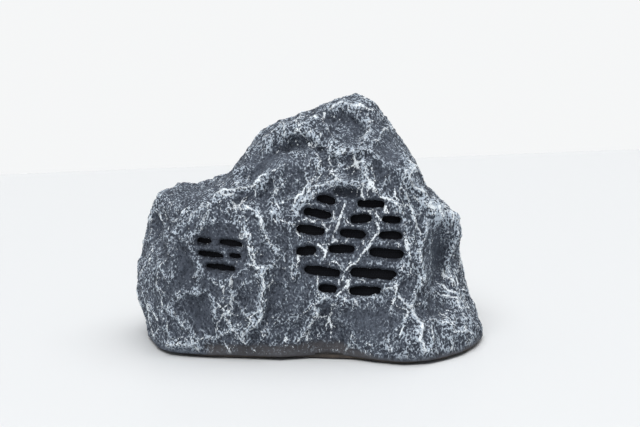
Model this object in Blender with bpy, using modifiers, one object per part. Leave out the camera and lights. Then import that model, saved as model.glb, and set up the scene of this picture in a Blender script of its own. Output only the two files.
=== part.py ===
"""Rock-shaped portable bluetooth speaker, built as an assembly of separate pieces.

Units are metres, +Z is up and the grilles face -Y. The origin is on the floor, under the
middle of the rock's box. Sizes below are written in millimetres and multiplied by MM.

The rock is a hollow moulded shell. A woofer and a tweeter sit behind slotted grilles in its
front, a control panel sits in a pocket in its back, and a screwed plate closes its underside
and carries the battery and the main board. Each driver and the panel is modelled in its own
frame: an empty whose local +Z points out of the rock.
"""

import math

import bmesh
import bpy
import numpy as np
from mathutils import Matrix, Vector, noise

MM = 0.001
GAP = 0.3 * MM  # running and resting gap between neighbouring pieces
WELD = 0.00001

# --- the rock -------------------------------------------------------------------------------
WIDTH, DEPTH, HEIGHT = 350 * MM, 224 * MM, 245 * MM
WALL = 6.5 * MM
RIM_Z = 6.4 * MM  # the shell's lower edge; gasket, plate and feet lie below it
OUTER_DETAIL, CAVITY_DETAIL = 5, 4  # icosphere subdivisions
SECTION_POWER = 2.9  # 2 is an ellipse, and more is squarer
SIDE_ZONE = 0.35  # how far a normal turns from the front before a front feature fades out

# Level sections, bottom to top: height, left end, right end, front and back, in millimetres.
STATIONS = (
    (-30, -116, 118, -61, 70),
    (0, -160, 166, -92, 96),
    (20, -165, 168, -96, 103),
    (42, -171, 152, -97, 108),
    (68, -172, 147, -97, 110),
    (92, -168, 144, -96, 110),
    (114, -163, 143, -93, 108),
    (130, -158, 136, -89, 104),
    (142, -147, 122, -84, 99),
    (151, -118, 114, -79, 93),
    (160, -87, 110, -75, 89),
    (176, -73, 103, -69, 83),
    (192, -59, 92, -61, 75),
    (206, -43, 80, -51, 64),
    (216, -21, 73, -42, 53),
    (226, 6, 67, -32, 42),
    (236, 23, 61, -21, 32),
    (243, 40, 50, 4, 17),
)

# Round lumps (+) and hollows (-): x, y, z of the middle, radius, height, in millimetres.
LUMPS = (
    (98, -92, 4, 46, 24),  # the foot that stands out below the woofer's right side
    (166, -60, 16, 26, 11),  # its right toe
    (14, -90, 14, 30, -9),  # the hollow under the woofer
    (-134, -78, 12, 34, 8),
    (-100, -78, 76, 22, -5),
    (-150, -40, 112, 26, -7),
    (-140, 0, 146, 26, 7),
    (135, -70, 84, 26, -11),  # the scooped facet at the right
    (146, -30, 122, 20, 6),
    (64, -30, 186, 30, 4),
    (12, -44, 190, 24, -6),
    (90, -62, 158, 30, 9),  # backs the woofer's upper right edge
    (150, 40, 60, 40, 8),
    (100, 90, 30, 34, 9),
    (60, 84, 130, 40, -9),
    (-120, 74, 40, 34, 8),
    (-90, 70, 120, 34, -8),
    (-10, 60, 190, 30, 6),
    (-165, 20, 60, 36, 5),
)

# Broken faces: a point and an outward normal. What stands past the plane is worn back to it.
FACETS = (
    ((148, -50, 70), (0.86, -0.50, 0.05)),
    ((-160, -60, 60), (-0.80, -0.60, 0.02)),
    ((92, -20, 200), (0.72, -0.30, 0.62)),
    ((-120, -60, 140), (-0.45, -0.55, 0.70)),
    ((120, 84, 80), (0.62, 0.78, 0.05)),
    ((-118, 84, 70), (-0.66, 0.75, 0.05)),
    ((70, 66, 150), (0.45, 0.72, 0.53)),
    ((-50, 66, 160), (-0.40, 0.66, 0.64)),
    ((-150, 30, 130), (-0.70, 0.20, 0.68)),
    ((40, 40, 222), (0.10, 0.60, 0.79)),
)
FACET_WEAR = 0.75

# Ridges (+) and grooves (-) of the front: height, half width, then x, z points.
FRONT_FOLDS = (
    (5, 8, ((57, 197), (74, 186), (92, 171), (106, 151), (119, 129), (109, 116), (104, 95),
            (108, 73), (103, 59), (98, 40), (101, 16))),
    (6, 8, ((-84, 158), (-61, 174), (-37, 198), (-22, 209), (-8, 212), (4, 207), (18, 199), (40, 196))),
    (-8, 8, ((-60, 168), (-45, 186), (-22, 200), (2, 199), (16, 192))),
    (5, 8, ((-102, 146), (-82, 153), (-64, 160), (-47, 163), (-41, 175), (-23, 184), (0, 178))),
    (-7, 10, ((-84, 158), (-108, 149), (-134, 134), (-160, 116))),
    (-5, 10, ((20, 226), (38, 214), (50, 204))),
    (4, 8, ((50, 222), (58, 212), (56, 196), (60, 186), (54, 170))),
    (-10, 8, ((126, 110), (131, 92), (128, 72), (133, 56))),
    (4, 8, ((146, 110), (141, 90), (134, 80), (132, 66), (146, 48))),
    (4, 9, ((-48, 78), (-50, 58), (-56, 40), (-64, 26))),
)

# Gentle unevenness all over: size of the pattern, then height.
ROUGHNESS = ((46 * MM, 4.0 * MM), (20 * MM, 1.8 * MM))

# --- the drivers' frames: middle of the grille's outer face, lean back and turn -------------
WOOFER_AT, WOOFER_LEAN, WOOFER_TURN = (39, -87, 115), 10, 0
TWEETER_AT, TWEETER_LEAN, TWEETER_TURN = (-84, -84, 106), 6, -11
PANEL_AT = (-20, 94, 62)  # middle of the pocket's floor in the rock's back

# Grille slots: middle u, v, length, height and tilt in degrees, in millimetres.
WOOFER_SLOTS = (
    (-22, 40, 18.5, 8.5, -14),
    (20.5, 36, 27, 8, -2),
    (-30.5, 27, 27.5, 9, -11),
    (11, 21.8, 21, 9, 4),
    (40, 21, 18.5, 7.5, -3),
    (-37, 11, 28, 9.8, -8),
    (3, 7.5, 25, 8.8, -6),
    (39.5, 6, 22.5, 8.5, -3),
    (-41, -8.8, 19.5, 9.5, 5),
    (-7.5, -7, 25, 9, 0),
    (35.5, -11, 33, 10, -5),
    (-26, -28.3, 34.5, 9.5, -7),
    (23, -30.5, 45, 11, -5),
    (-20.5, -44.8, 18.5, 8.5, -7),
    (15.5, -47, 32, 9.5, 0),
)
BLIND_SLOT = (-2.5, 47.5, 26, 8, -8)  # moulded, but never opened
TWEETER_SLOTS = (
    (-16.5, 8, 15, 6.5, -4),
    (9.5, 6.5, 24, 7, -5),
    (-10.5, -5, 25, 6.5, -5),
    (14, -5.5, 13, 6, 0),
    (0, -17, 30, 6.5, -5),
)
SLOT_SIDES = 10
BLIND_DEPTH = 4 * MM

# Each driver's recess behind its grille, from the outer face inwards, in millimetres.
WOOFER_GRILLE_R, WOOFER_SKIN, WOOFER_PAD_Z, WOOFER_RECESS_R, WOOFER_PAD_R = 58, 7, -19, 57, 73
TWEETER_GRILLE_R, TWEETER_SKIN, TWEETER_PAD_Z, TWEETER_RECESS_R, TWEETER_PAD_R = 29, 6, -11, 27, 38
GRILLE_EDGE = 9 * MM  # width over which the flat grille runs out into the rock
CLOTH_THICKNESS = 0.8 * MM
WOOFER_SCREW_RING, TWEETER_SCREW_RING = 62.2, 30.8
WOOFER_FLANGE_R, TWEETER_FLANGE_R = 65, 34

# --- the underside --------------------------------------------------------------------------
FOOT_R, FOOT_HEIGHT = 9 * MM, 1.5 * MM
FEET = ((-118, -58), (112, -82), (124, 52), (-108, 58))
PLATE_BOTTOM, PLATE_TOP = 1.8 * MM, 4.8 * MM
GASKET_BOTTOM, GASKET_TOP = 5.1 * MM, 6.1 * MM
# Screw bosses: x, y, and the direction in degrees of the web that ties each to the wall.
BOSSES = ((-136, -34, 180), (-30, -66, 270), (132, -60, 300), (112, 62, 60), (-88, 72, 110))
BOSS_R, BOSS_TOP, WEB_WIDTH, WEB_LENGTH = 7 * MM, 32 * MM, 6 * MM, 40 * MM
PILOT_DEPTH = 16 * MM

# --- the control panel, in its own frame (u right, v up, z out of the rock), in millimetres --
POCKET_SIZE, WINDOW_SIZE, PANEL_SIZE, PAD_SIZE = (108, 58), (82, 36), (102, 52), (120, 70)
POCKET_WALL = 8
PANEL_BACK, PANEL_FACE = 1.6, 4.1
PANEL_SCREWS = ((-45.5, -20.5), (45.5, -20.5), (45.5, 20.5), (-45.5, 20.5))
BUTTONS = {  # u, v, radius
    "power_button": (-30, 8.5, 6),
    "play_pair_button": (-10, 8.5, 4.5),
    "volume_down_button": (10, 8.5, 4.5),
    "volume_up_button": (30, 8.5, 4.5),
}
BUTTON_TRAVEL = 0.8
BUTTON_TOP = 6.0
LIGHT_AT, LIGHT_R = (-30, -9.5), 1.7
COVER_AT, COVER_SIZE = (9, -10.5), (42, 13)
HINGE_V, HINGE_Z, BARREL_R, PIN_R = -2.2, 5.3, 1.0, 0.5
COVER_THICKNESS = 2.4
CHARGE_AT, AUX_AT = (-3, -11), (20, -11)
SOCKET_NOSE_R, CHARGE_BORE_R, CHARGE_PIN_R, AUX_BORE_R = 4.2, 3.2, 1.0, 1.8
BOARD_BACK, BOARD_FRONT = -12.1, -10.5  # the button board
SWITCH_TOP = -6.9

# --- electronics on the base plate, in millimetres -------------------------------------------
MAIN_BOARD_AT, MAIN_BOARD_SIZE, MAIN_BOARD_Z = (74, 22), (84, 58), 12.0
BATTERY_AT, CELL_R, CELL_LENGTH = (-62, 8), 9.2, 65

# --- materials: colour, roughness and metallic -----------------------------------------------
MATERIALS = {
    "rock_paint": ((0.10, 0.11, 0.13), 0.85, 0.0),
    "base_plastic": ((0.06, 0.055, 0.05), 0.7, 0.0),
    "foam": ((0.03, 0.03, 0.03), 0.95, 0.0),
    "rubber": ((0.02, 0.02, 0.02), 0.8, 0.0),
    "grille_cloth": ((0.01, 0.01, 0.012), 0.95, 0.0),
    "steel_black": ((0.05, 0.05, 0.05), 0.5, 0.8),
    "zinc_steel": ((0.62, 0.62, 0.60), 0.35, 1.0),
    "ferrite": ((0.08, 0.08, 0.085), 0.75, 0.0),
    "cone_paper": ((0.03, 0.03, 0.03), 0.9, 0.0),
    "copper_coil": ((0.60, 0.30, 0.12), 0.4, 1.0),
    "spider_cloth": ((0.62, 0.48, 0.20), 0.9, 0.0),
    "silk_dome": ((0.02, 0.02, 0.025), 0.6, 0.0),
    "panel_plastic": ((0.03, 0.03, 0.032), 0.55, 0.0),
    "button_plastic": ((0.11, 0.11, 0.12), 0.45, 0.0),
    "light_pipe": ((0.75, 0.85, 0.95), 0.2, 0.0),
    "socket_plastic": ((0.02, 0.02, 0.02), 0.4, 0.0),
    "circuit_board": ((0.02, 0.13, 0.06), 0.5, 0.0),
    "module_can": ((0.7, 0.7, 0.7), 0.3, 1.0),
    "aluminium": ((0.55, 0.55, 0.56), 0.4, 1.0),
    "cell_wrap": ((0.05, 0.16, 0.36), 0.4, 0.0),
    "webbing": ((0.03, 0.03, 0.035), 0.9, 0.0),
    "lead_red": ((0.40, 0.02, 0.02), 0.5, 0.0),
}


# ============================================================================================
# Scene, materials and small builders
# ============================================================================================
def clear_scene():
    for obj in list(bpy.data.objects):
        bpy.data.objects.remove(obj)


def new_collection(name):
    made = bpy.data.collections.new(name)
    bpy.context.scene.collection.children.link(made)
    return made


def material(name):
    found = bpy.data.materials.get(name)
    if found:
        return found
    colour, roughness, metallic = MATERIALS[name]
    made = bpy.data.materials.new(name)
    made.use_nodes = True
    shader = made.node_tree.nodes["Principled BSDF"]
    shader.inputs["Base Color"].default_value = (*colour, 1)
    shader.inputs["Roughness"].default_value = roughness
    shader.inputs["Metallic"].default_value = metallic
    return made


def frame_empty(name, at_mm, lean, turn, away_from_front=False):
    """An empty whose local +Z leaves the rock: forwards, leaning back by lean and turned by turn."""
    empty = bpy.data.objects.new(name, None)
    parts.objects.link(empty)
    empty.location = [c * MM for c in at_mm]
    facing = 180 if away_from_front else 0
    empty.rotation_euler = (math.radians(90 - lean), 0, math.radians(facing + turn))
    bpy.context.view_layer.update()
    return empty


def add_object(name, mesh, slot=None, frame=None, collection=None):
    """A new object in the parts collection, or a hidden helper in another."""
    obj = bpy.data.objects.new(name, mesh)
    (collection or parts).objects.link(obj)
    if slot:
        mesh.materials.append(material(slot))
    if frame:
        obj.parent = frame
    if collection is cutters:
        obj.hide_render = True
        obj.display_type = "WIRE"
    return obj


def mesh_from(bm, name, smooth=True):
    mesh = bpy.data.meshes.new(name)
    bmesh.ops.recalc_face_normals(bm, faces=bm.faces)
    bm.to_mesh(mesh)
    bm.free()
    if smooth:
        mesh.shade_smooth()
        mesh.set_sharp_from_angle(angle=math.radians(35))
    return mesh


def add_modifier(obj, kind, **settings):
    made = obj.modifiers.new(kind.title(), kind)
    for key, value in settings.items():
        setattr(made, key, value)
    return made


def cut(obj, tool, operation="DIFFERENCE"):
    return add_modifier(obj, "BOOLEAN", operation=operation, solver="EXACT", object=tool)


def box_mesh(name, size_mm, centre_mm):
    """A cuboid, its size and middle in millimetres."""
    bm = bmesh.new()
    bmesh.ops.create_cube(bm, size=1)
    scale = Matrix.Diagonal((*[s * MM for s in size_mm], 1))
    bmesh.ops.transform(bm, matrix=Matrix.Translation([c * MM for c in centre_mm]) @ scale, verts=bm.verts)
    return mesh_from(bm, name, smooth=False)


def box(name, size_mm, centre_mm, slot=None, frame=None, collection=None, bevel_mm=0.0):
    obj = add_object(name, box_mesh(name, size_mm, centre_mm), slot, frame, collection)
    if bevel_mm:
        add_modifier(obj, "BEVEL", width=bevel_mm * MM, segments=2, limit_method="ANGLE")
    return obj


def plate(name, size_mm, z_range_mm, corner_mm, slot=None, frame=None, collection=None, centre_mm=(0, 0)):
    """A flat plate with its four upright edges rounded."""
    low, high = z_range_mm
    bm = bmesh.new()
    bmesh.ops.create_cube(bm, size=1)
    size = Matrix.Diagonal((size_mm[0] * MM, size_mm[1] * MM, (high - low) * MM, 1))
    middle = Matrix.Translation((centre_mm[0] * MM, centre_mm[1] * MM, (low + high) / 2 * MM))
    bmesh.ops.transform(bm, matrix=middle @ size, verts=bm.verts)
    upright = [e for e in bm.edges if abs(e.verts[0].co.z - e.verts[1].co.z) > WELD]
    bmesh.ops.bevel(bm, geom=upright, offset=corner_mm * MM, segments=3, affect="EDGES", profile=0.5)
    return add_object(name, mesh_from(bm, name), slot, frame, collection)


def cylinder(name, radius_mm, z_range_mm, at_mm=(0, 0), slot=None, frame=None, collection=None, sides=24):
    """An upright cylinder between two heights, radius in millimetres; a pair of radii makes a cone."""
    low, high = z_range_mm
    bottom, top = radius_mm if isinstance(radius_mm, tuple) else (radius_mm, radius_mm)
    bm = bmesh.new()
    bmesh.ops.create_cone(
        bm, cap_ends=True, segments=sides, radius1=bottom * MM, radius2=top * MM, depth=(high - low) * MM
    )
    bmesh.ops.translate(bm, vec=(at_mm[0] * MM, at_mm[1] * MM, (low + high) / 2 * MM), verts=bm.verts)
    return add_object(name, mesh_from(bm, name), slot, frame, collection)


def profile_mesh(name, points_mm, closed):
    """Profile points (radius, z) at +X, as edges for a Screw modifier."""
    bm = bmesh.new()
    verts = [bm.verts.new((r * MM, 0, z * MM)) for r, z in points_mm]
    for a, b in zip(verts, verts[1:]):
        bm.edges.new((a, b))
    if closed:
        bm.edges.new((verts[-1], verts[0]))
    mesh = bpy.data.meshes.new(name)
    bm.to_mesh(mesh)
    bm.free()
    return mesh


def turned(name, points_mm, slot, frame=None, steps=24, closed=False, skin_mm=0.0, at_mm=(0, 0, 0)):
    """A turned solid. A closed loop makes a ring, and skin_mm gives an open line that thickness."""
    obj = add_object(name, profile_mesh(name, points_mm, closed), slot, frame)
    obj.location = [c * MM for c in at_mm]
    add_modifier(
        obj, "SCREW", steps=steps, render_steps=steps, use_merge_vertices=True,
        merge_threshold=WELD, use_smooth_shade=True,
    )
    if skin_mm:
        add_modifier(obj, "SOLIDIFY", thickness=skin_mm * MM, offset=0)
    return obj


def ring(name, inner_mm, outer_mm, z_range_mm, slot, frame=None, steps=24):
    low, high = z_range_mm
    loop = ((outer_mm, high), (outer_mm, low), (inner_mm, low), (inner_mm, high))
    return turned(name, loop, slot, frame, steps, closed=True)


def screw(name, head_r, head_height, shank_r, length, frame, at_mm, point_up=True, countersunk=False):
    """A screw along local Z with the underside of its head at at_mm; point_up drives it towards +Z."""
    if countersunk:
        line = ((0, length), (shank_r, length - 2), (shank_r, 0), (head_r, -head_height), (0, -head_height))
    else:
        line = (
            (0, length), (shank_r, length - 2), (shank_r, 0), (head_r, 0),
            (head_r, -0.6 * head_height), (0.6 * head_r, -head_height), (0, -head_height),
        )
    obj = turned(name, line, "zinc_steel", frame, steps=8, at_mm=at_mm)
    if not point_up:
        obj.rotation_euler = (math.pi, 0, 0)
    return obj


def joined_cutter(name, meshes, frame=None):
    """One hidden helper that holds several closed bodies."""
    bm = bmesh.new()
    for mesh in meshes:
        bm.from_mesh(mesh)
    made = bpy.data.meshes.new(name)
    bm.to_mesh(made)
    bm.free()
    return add_object(name, made, frame=frame, collection=cutters)


def cylinder_mesh(name, radius_mm, z_range_mm, at_mm=(0, 0), sides=16):
    helper = cylinder(name, radius_mm, z_range_mm, at_mm, collection=cutters, sides=sides)
    mesh = helper.data
    bpy.data.objects.remove(helper)
    return mesh


def hidden_union(name, tools, frame=None):
    """A hidden helper that unites overlapping meshes."""
    base, *others = tools
    obj = add_object(name, base, frame=frame, collection=cutters)
    for i, mesh in enumerate(others):
        cut(obj, add_object(f"{name}_{i + 1}", mesh, frame=frame, collection=cutters), "UNION")
    return obj


def tube(name, points_mm, radius_mm, slot, samples):
    """A lead: a POLY spline along a smooth curve through the points, with round section."""
    curve = bpy.data.curves.new(name, "CURVE")
    curve.dimensions = "3D"
    curve.bevel_depth = radius_mm * MM
    curve.bevel_resolution = 2
    curve.use_fill_caps = True
    line = smooth_rows(np.array(points_mm, float) * MM, np.linspace(0, 1, samples))
    spline = curve.splines.new("POLY")
    spline.points.add(samples - 1)
    for point, place in zip(spline.points, line):
        point.co = (*place, 1)
    return add_object(name, curve, slot)


# ============================================================================================
# The rock's shape
# ============================================================================================
def smooth_rows(table, share):
    """Catmull-Rom interpolation of the table's rows, share 0 to 1 from first row to last."""
    last = len(table) - 1
    at = np.clip(np.asarray(share) * last, 0, last - 1e-9)
    i = at.astype(int)
    t = (at - i)[:, None]
    p0, p1 = table[np.maximum(i - 1, 0)], table[i]
    p2, p3 = table[i + 1], table[np.minimum(i + 2, last)]
    return 0.5 * (
        2 * p1 + (p2 - p0) * t + (2 * p0 - 5 * p1 + 4 * p2 - p3) * t**2 + (3 * p1 - p0 - 3 * p2 + p3) * t**3
    )


def smoothstep(low, high, value):
    t = np.clip((value - low) / (high - low), 0, 1)
    return t * t * (3 - 2 * t)


def section_points(directions):
    """Points on the stacked sections, for unit directions that spread evenly over a sphere."""
    rows = smooth_rows(np.array(STATIONS, float) * MM, (directions[:, 2] + 1) / 2)
    z, left, right, front, back = rows.T
    flat = np.linalg.norm(directions[:, :2], axis=1)
    around = directions[:, :2] / np.maximum(flat, 1e-6)[:, None]
    spread = np.maximum((np.abs(around) ** SECTION_POWER).sum(axis=1), 1e-6)
    reach = np.where(flat > 1e-5, spread ** (-1 / SECTION_POWER), 0)
    x = (left + right) / 2 + (right - left) / 2 * reach * around[:, 0]
    y = (front + back) / 2 + (back - front) / 2 * reach * around[:, 1]
    return np.stack([x, y, z], axis=1)


def line_distance(points, line):
    """Distance of 2-D points from a bent line."""
    nearest = np.full(len(points), np.inf)
    for a, b in zip(line, line[1:]):
        a, b = np.array(a, float) * MM, np.array(b, float) * MM
        share = np.clip(((points - a) @ (b - a)) / ((b - a) @ (b - a)), 0, 1)
        nearest = np.minimum(nearest, np.linalg.norm(points - a - share[:, None] * (b - a), axis=1))
    return nearest


def normals_of(bm):
    bm.normal_update()
    return np.array([v.normal for v in bm.verts])


def put_points(bm, points):
    for vert, place in zip(bm.verts, points):
        vert.co = place


def wear_to_facets(points):
    for at, normal in FACETS:
        n = np.array(normal) / np.linalg.norm(normal)
        past = np.maximum((points - np.array(at, float) * MM) @ n, 0)
        points = points - FACET_WEAR * past[:, None] * n
    return points


def add_lumps(points, normals):
    rise = np.zeros(len(points))
    for x, y, z, radius, height in LUMPS:
        away = np.linalg.norm(points - np.array((x, y, z), float) * MM, axis=1) / (radius * MM)
        rise += height * MM * np.exp(-(away**2))
    return points + rise[:, None] * normals


def add_folds(points, normals):
    facing = smoothstep(0, SIDE_ZONE, -normals[:, 1])
    rise = np.zeros(len(points))
    for height, half_width, line in FRONT_FOLDS:
        away = line_distance(points[:, [0, 2]], line) / (half_width * MM)
        rise += height * MM * np.exp(-(away**2))
    return points + (rise * facing)[:, None] * normals


def add_roughness(points, normals):
    rise = np.zeros(len(points))
    for size, height in ROUGHNESS:
        rise += [height * noise.noise(Vector(p) / size) for p in points]
    return points + rise[:, None] * normals


def flatten_grille(points, frame, radius_mm):
    """Draws the surface round a frame's origin onto the frame's plane, for a flat grille."""
    to_local, to_world = np.array(frame.matrix_world.inverted()), np.array(frame.matrix_world)
    local = points @ to_local[:3, :3].T + to_local[:3, 3]
    reach = np.linalg.norm(local[:, :2], axis=1)
    share = 1 - smoothstep(radius_mm * MM, radius_mm * MM + GRILLE_EDGE, reach)
    share *= np.abs(local[:, 2]) < 40 * MM
    local[:, 2] *= 1 - share
    return local @ to_world[:3, :3].T + to_world[:3, 3]


def rock_bmesh(subdivisions, fit=None):
    """The closed rock as a bmesh, and the scale and shift that fit it to its box."""
    bm = bmesh.new()
    bmesh.ops.create_icosphere(bm, subdivisions=subdivisions, radius=1)
    directions = np.array([v.co.normalized() for v in bm.verts])
    points = wear_to_facets(section_points(directions))
    for shape in (add_lumps, add_folds, add_roughness):
        put_points(bm, points)
        points = shape(points, normals_of(bm))
    if fit is None:
        seen = points[points[:, 2] > RIM_Z]
        low, high = seen.min(axis=0), seen.max(axis=0)
        scale = np.array([WIDTH, DEPTH, 0]) / (high - low)
        shift = -(low + high) / 2 * scale
        scale[2] = HEIGHT / high[2]
        shift[2] = 0
        fit = scale, shift
    points = flatten_grille(points * fit[0] + fit[1], woofer, WOOFER_GRILLE_R)
    put_points(bm, flatten_grille(points, tweeter, TWEETER_GRILLE_R))
    return bm, fit


# ============================================================================================
# Building the pieces
# ============================================================================================
def slot_mesh(u, v, length, height, tilt, z_range_mm):
    """A slot cutter: a flat stadium, tilted in its plane and extruded along local Z."""
    low, high = z_range_mm
    bm = bmesh.new()
    bmesh.ops.create_cone(
        bm, cap_ends=True, segments=SLOT_SIDES, radius1=height / 2 * MM, radius2=height / 2 * MM,
        depth=(high - low) * MM,
    )
    stretch = (length - height) / 2 * MM
    for vert in bm.verts:
        vert.co.x += math.copysign(stretch, vert.co.x) if abs(vert.co.x) > WELD else 0
    place = Matrix.Translation((u * MM, v * MM, (low + high) / 2 * MM))
    bmesh.ops.transform(bm, matrix=place @ Matrix.Rotation(math.radians(tilt), 4, "Z"), verts=bm.verts)
    return mesh_from(bm, "slot", smooth=False)


def ring_spots(radius_mm, count, start_deg):
    angles = [math.radians(start_deg + 360 * i / count) for i in range(count)]
    return [(radius_mm * math.cos(a), radius_mm * math.sin(a)) for a in angles]


def build_cavity(fit):
    """The rock's hollow: the rock drawn in by the wall, less every pad, boss and web."""
    bm, _ = rock_bmesh(CAVITY_DETAIL, fit)
    points = np.array([v.co for v in bm.verts])
    put_points(bm, points - WALL * normals_of(bm))
    cavity = add_object("cavity", mesh_from(bm, "cavity"), collection=cutters)
    pads = [
        (woofer, cylinder_mesh("woofer_pad", WOOFER_PAD_R, (WOOFER_PAD_Z, 40), sides=32)),
        (tweeter, cylinder_mesh("tweeter_pad", TWEETER_PAD_R, (TWEETER_PAD_Z, 40), sides=24)),
        (panel, box_mesh("panel_pad", (*PAD_SIZE, 40), (0, 0, 20 - POCKET_WALL))),
    ]
    for frame, mesh in pads:
        cut(cavity, add_object(mesh.name, mesh, frame=frame, collection=cutters))
    for i, (x, y, web_deg) in enumerate(BOSSES):
        post = cylinder_mesh("boss", BOSS_R / MM, (-12, BOSS_TOP / MM), (x, y))
        turn = math.radians(web_deg)
        web_size = (WEB_LENGTH / MM, WEB_WIDTH / MM, BOSS_TOP / MM + 10)
        web = box_mesh("web", web_size, (WEB_LENGTH / 2 / MM, 0, 10))
        web.transform(Matrix.Translation((x * MM, y * MM, 0)) @ Matrix.Rotation(turn, 4, "Z"))
        cut(cavity, hidden_union(f"boss_{i + 1}", (post, web)))
    return cavity


def build_shell():
    """The moulded rock with its hollow, grille slots, driver recesses and panel pocket."""
    bm, fit = rock_bmesh(OUTER_DETAIL)
    bmesh.ops.bisect_plane(
        bm, geom=bm.verts[:] + bm.edges[:] + bm.faces[:], plane_co=(0, 0, RIM_Z), plane_no=(0, 0, -1),
        clear_outer=True, dist=WELD,
    )
    bmesh.ops.holes_fill(bm, edges=[e for e in bm.edges if e.is_boundary])
    shell = add_object("rock_shell", mesh_from(bm, "rock_shell"), "rock_paint")
    cavity = build_cavity(fit)
    cut(shell, cavity)
    woofer_pilots = [
        cylinder_mesh("pilot", 1.9, (WOOFER_PAD_Z - 3, WOOFER_PAD_Z + 9), spot, sides=8)
        for spot in ring_spots(WOOFER_SCREW_RING, 4, 45)
    ]
    tweeter_pilots = [
        cylinder_mesh("pilot", 1.6, (TWEETER_PAD_Z - 3, TWEETER_PAD_Z + 6), spot, sides=8)
        for spot in ring_spots(TWEETER_SCREW_RING, 2, 0)
    ]
    woofer_recess = cylinder_mesh("recess", WOOFER_RECESS_R, (-60, -WOOFER_SKIN), sides=32)
    tweeter_recess = cylinder_mesh("recess", TWEETER_RECESS_R, (-40, -TWEETER_SKIN), sides=24)
    woofer_slots = [slot_mesh(*slot, (-12, 20)) for slot in WOOFER_SLOTS]
    woofer_slots.append(slot_mesh(*BLIND_SLOT, (-BLIND_DEPTH / MM, 20)))
    tweeter_slots = [slot_mesh(*slot, (-10, 20)) for slot in TWEETER_SLOTS]
    woofer_face = (WOOFER_PAD_Z - 10, WOOFER_PAD_Z)
    tweeter_face = (TWEETER_PAD_Z - 12, TWEETER_PAD_Z)
    base_pilots = [
        cylinder_mesh("pilot", 2.0, (-5, (RIM_Z + PILOT_DEPTH) / MM), (x, y), sides=8)
        for x, y, _ in BOSSES
    ]
    cutters_by_frame = (
        (woofer, [woofer_recess, *woofer_pilots]),
        (tweeter, [tweeter_recess, *tweeter_pilots]),
        (woofer, woofer_slots),
        (tweeter, tweeter_slots),
        (woofer, [cylinder_mesh("spot_face", WOOFER_FLANGE_R + 1, woofer_face, sides=32)]),
        (tweeter, [cylinder_mesh("spot_face", TWEETER_FLANGE_R + 1, tweeter_face, sides=24)]),
        (None, base_pilots),
    )
    for i, (frame, meshes) in enumerate(cutters_by_frame):
        cut(shell, joined_cutter(f"shell_cut_{i + 1}", meshes, frame))
    pocket = plate("panel_pocket", POCKET_SIZE, (0, 60), 8, frame=panel, collection=cutters)
    window = plate("panel_window", WINDOW_SIZE, (-40, 10), 3, frame=panel, collection=cutters)
    screw_holes = [cylinder_mesh("pilot", 1.6, (-7, 5), spot, sides=8) for spot in PANEL_SCREWS]
    cut(shell, pocket)
    cut(shell, window)
    cut(shell, joined_cutter("panel_pilots", screw_holes, panel))
    return fit, cavity


def build_underside(fit, cavity):
    """Base plate, gasket, feet and screws. Plate and gasket follow the rock's own outline."""
    for name, low, high, slot in (
        ("base_plate", PLATE_BOTTOM, PLATE_TOP, "base_plastic"),
        ("base_gasket", GASKET_BOTTOM, GASKET_TOP, "foam"),
    ):
        bm, _ = rock_bmesh(CAVITY_DETAIL, fit)
        for height, side in ((low, -1), (high, 1)):
            bmesh.ops.bisect_plane(
                bm, geom=bm.verts[:] + bm.edges[:] + bm.faces[:], plane_co=(0, 0, height),
                plane_no=(0, 0, side), clear_outer=True, dist=WELD,
            )
            bmesh.ops.holes_fill(bm, edges=[e for e in bm.edges if e.is_boundary])
        add_object(name, mesh_from(bm, name, smooth=False), slot)
    base, seal = bpy.data.objects["base_plate"], bpy.data.objects["base_gasket"]
    through = [cylinder_mesh("hole", 2.1, (-2, 8), (x, y), sides=12) for x, y, _ in BOSSES]
    holes = joined_cutter("plate_holes", through)
    cut(seal, cavity)
    cut(seal, holes)
    cut(base, holes)
    sinks = [cylinder_mesh("sink", (4.3, 2.1), (1.6, 3.8), (x, y), sides=12) for x, y, _ in BOSSES]
    cut(base, joined_cutter("plate_sinks", sinks))
    u, v = MAIN_BOARD_AT
    half_u, half_v = MAIN_BOARD_SIZE[0] / 2 - 5, MAIN_BOARD_SIZE[1] / 2 - 5
    posts = [
        cylinder_mesh("post", 3, (4, MAIN_BOARD_Z - 0.3), (u + i * half_u, v + j * half_v), sides=12)
        for i in (-1, 1) for j in (-1, 1)
    ]
    cut(base, joined_cutter("board_posts", posts), "UNION")
    top = FOOT_HEIGHT / MM
    foot = ((0, top), (9, top), (9, 0.5), (8.5, 0), (0, 0))
    for i, (x, y) in enumerate(FEET):
        turned(f"foot_{i + 1}", foot, "rubber", steps=20, at_mm=(x, y, 0))
    for i, (x, y, _) in enumerate(BOSSES):
        seat = (x, y, PLATE_BOTTOM / MM + 2.0)
        screw(f"base_screw_{i + 1}", 3.6, 1.8, 1.7, 17, None, seat, countersunk=True)


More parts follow.
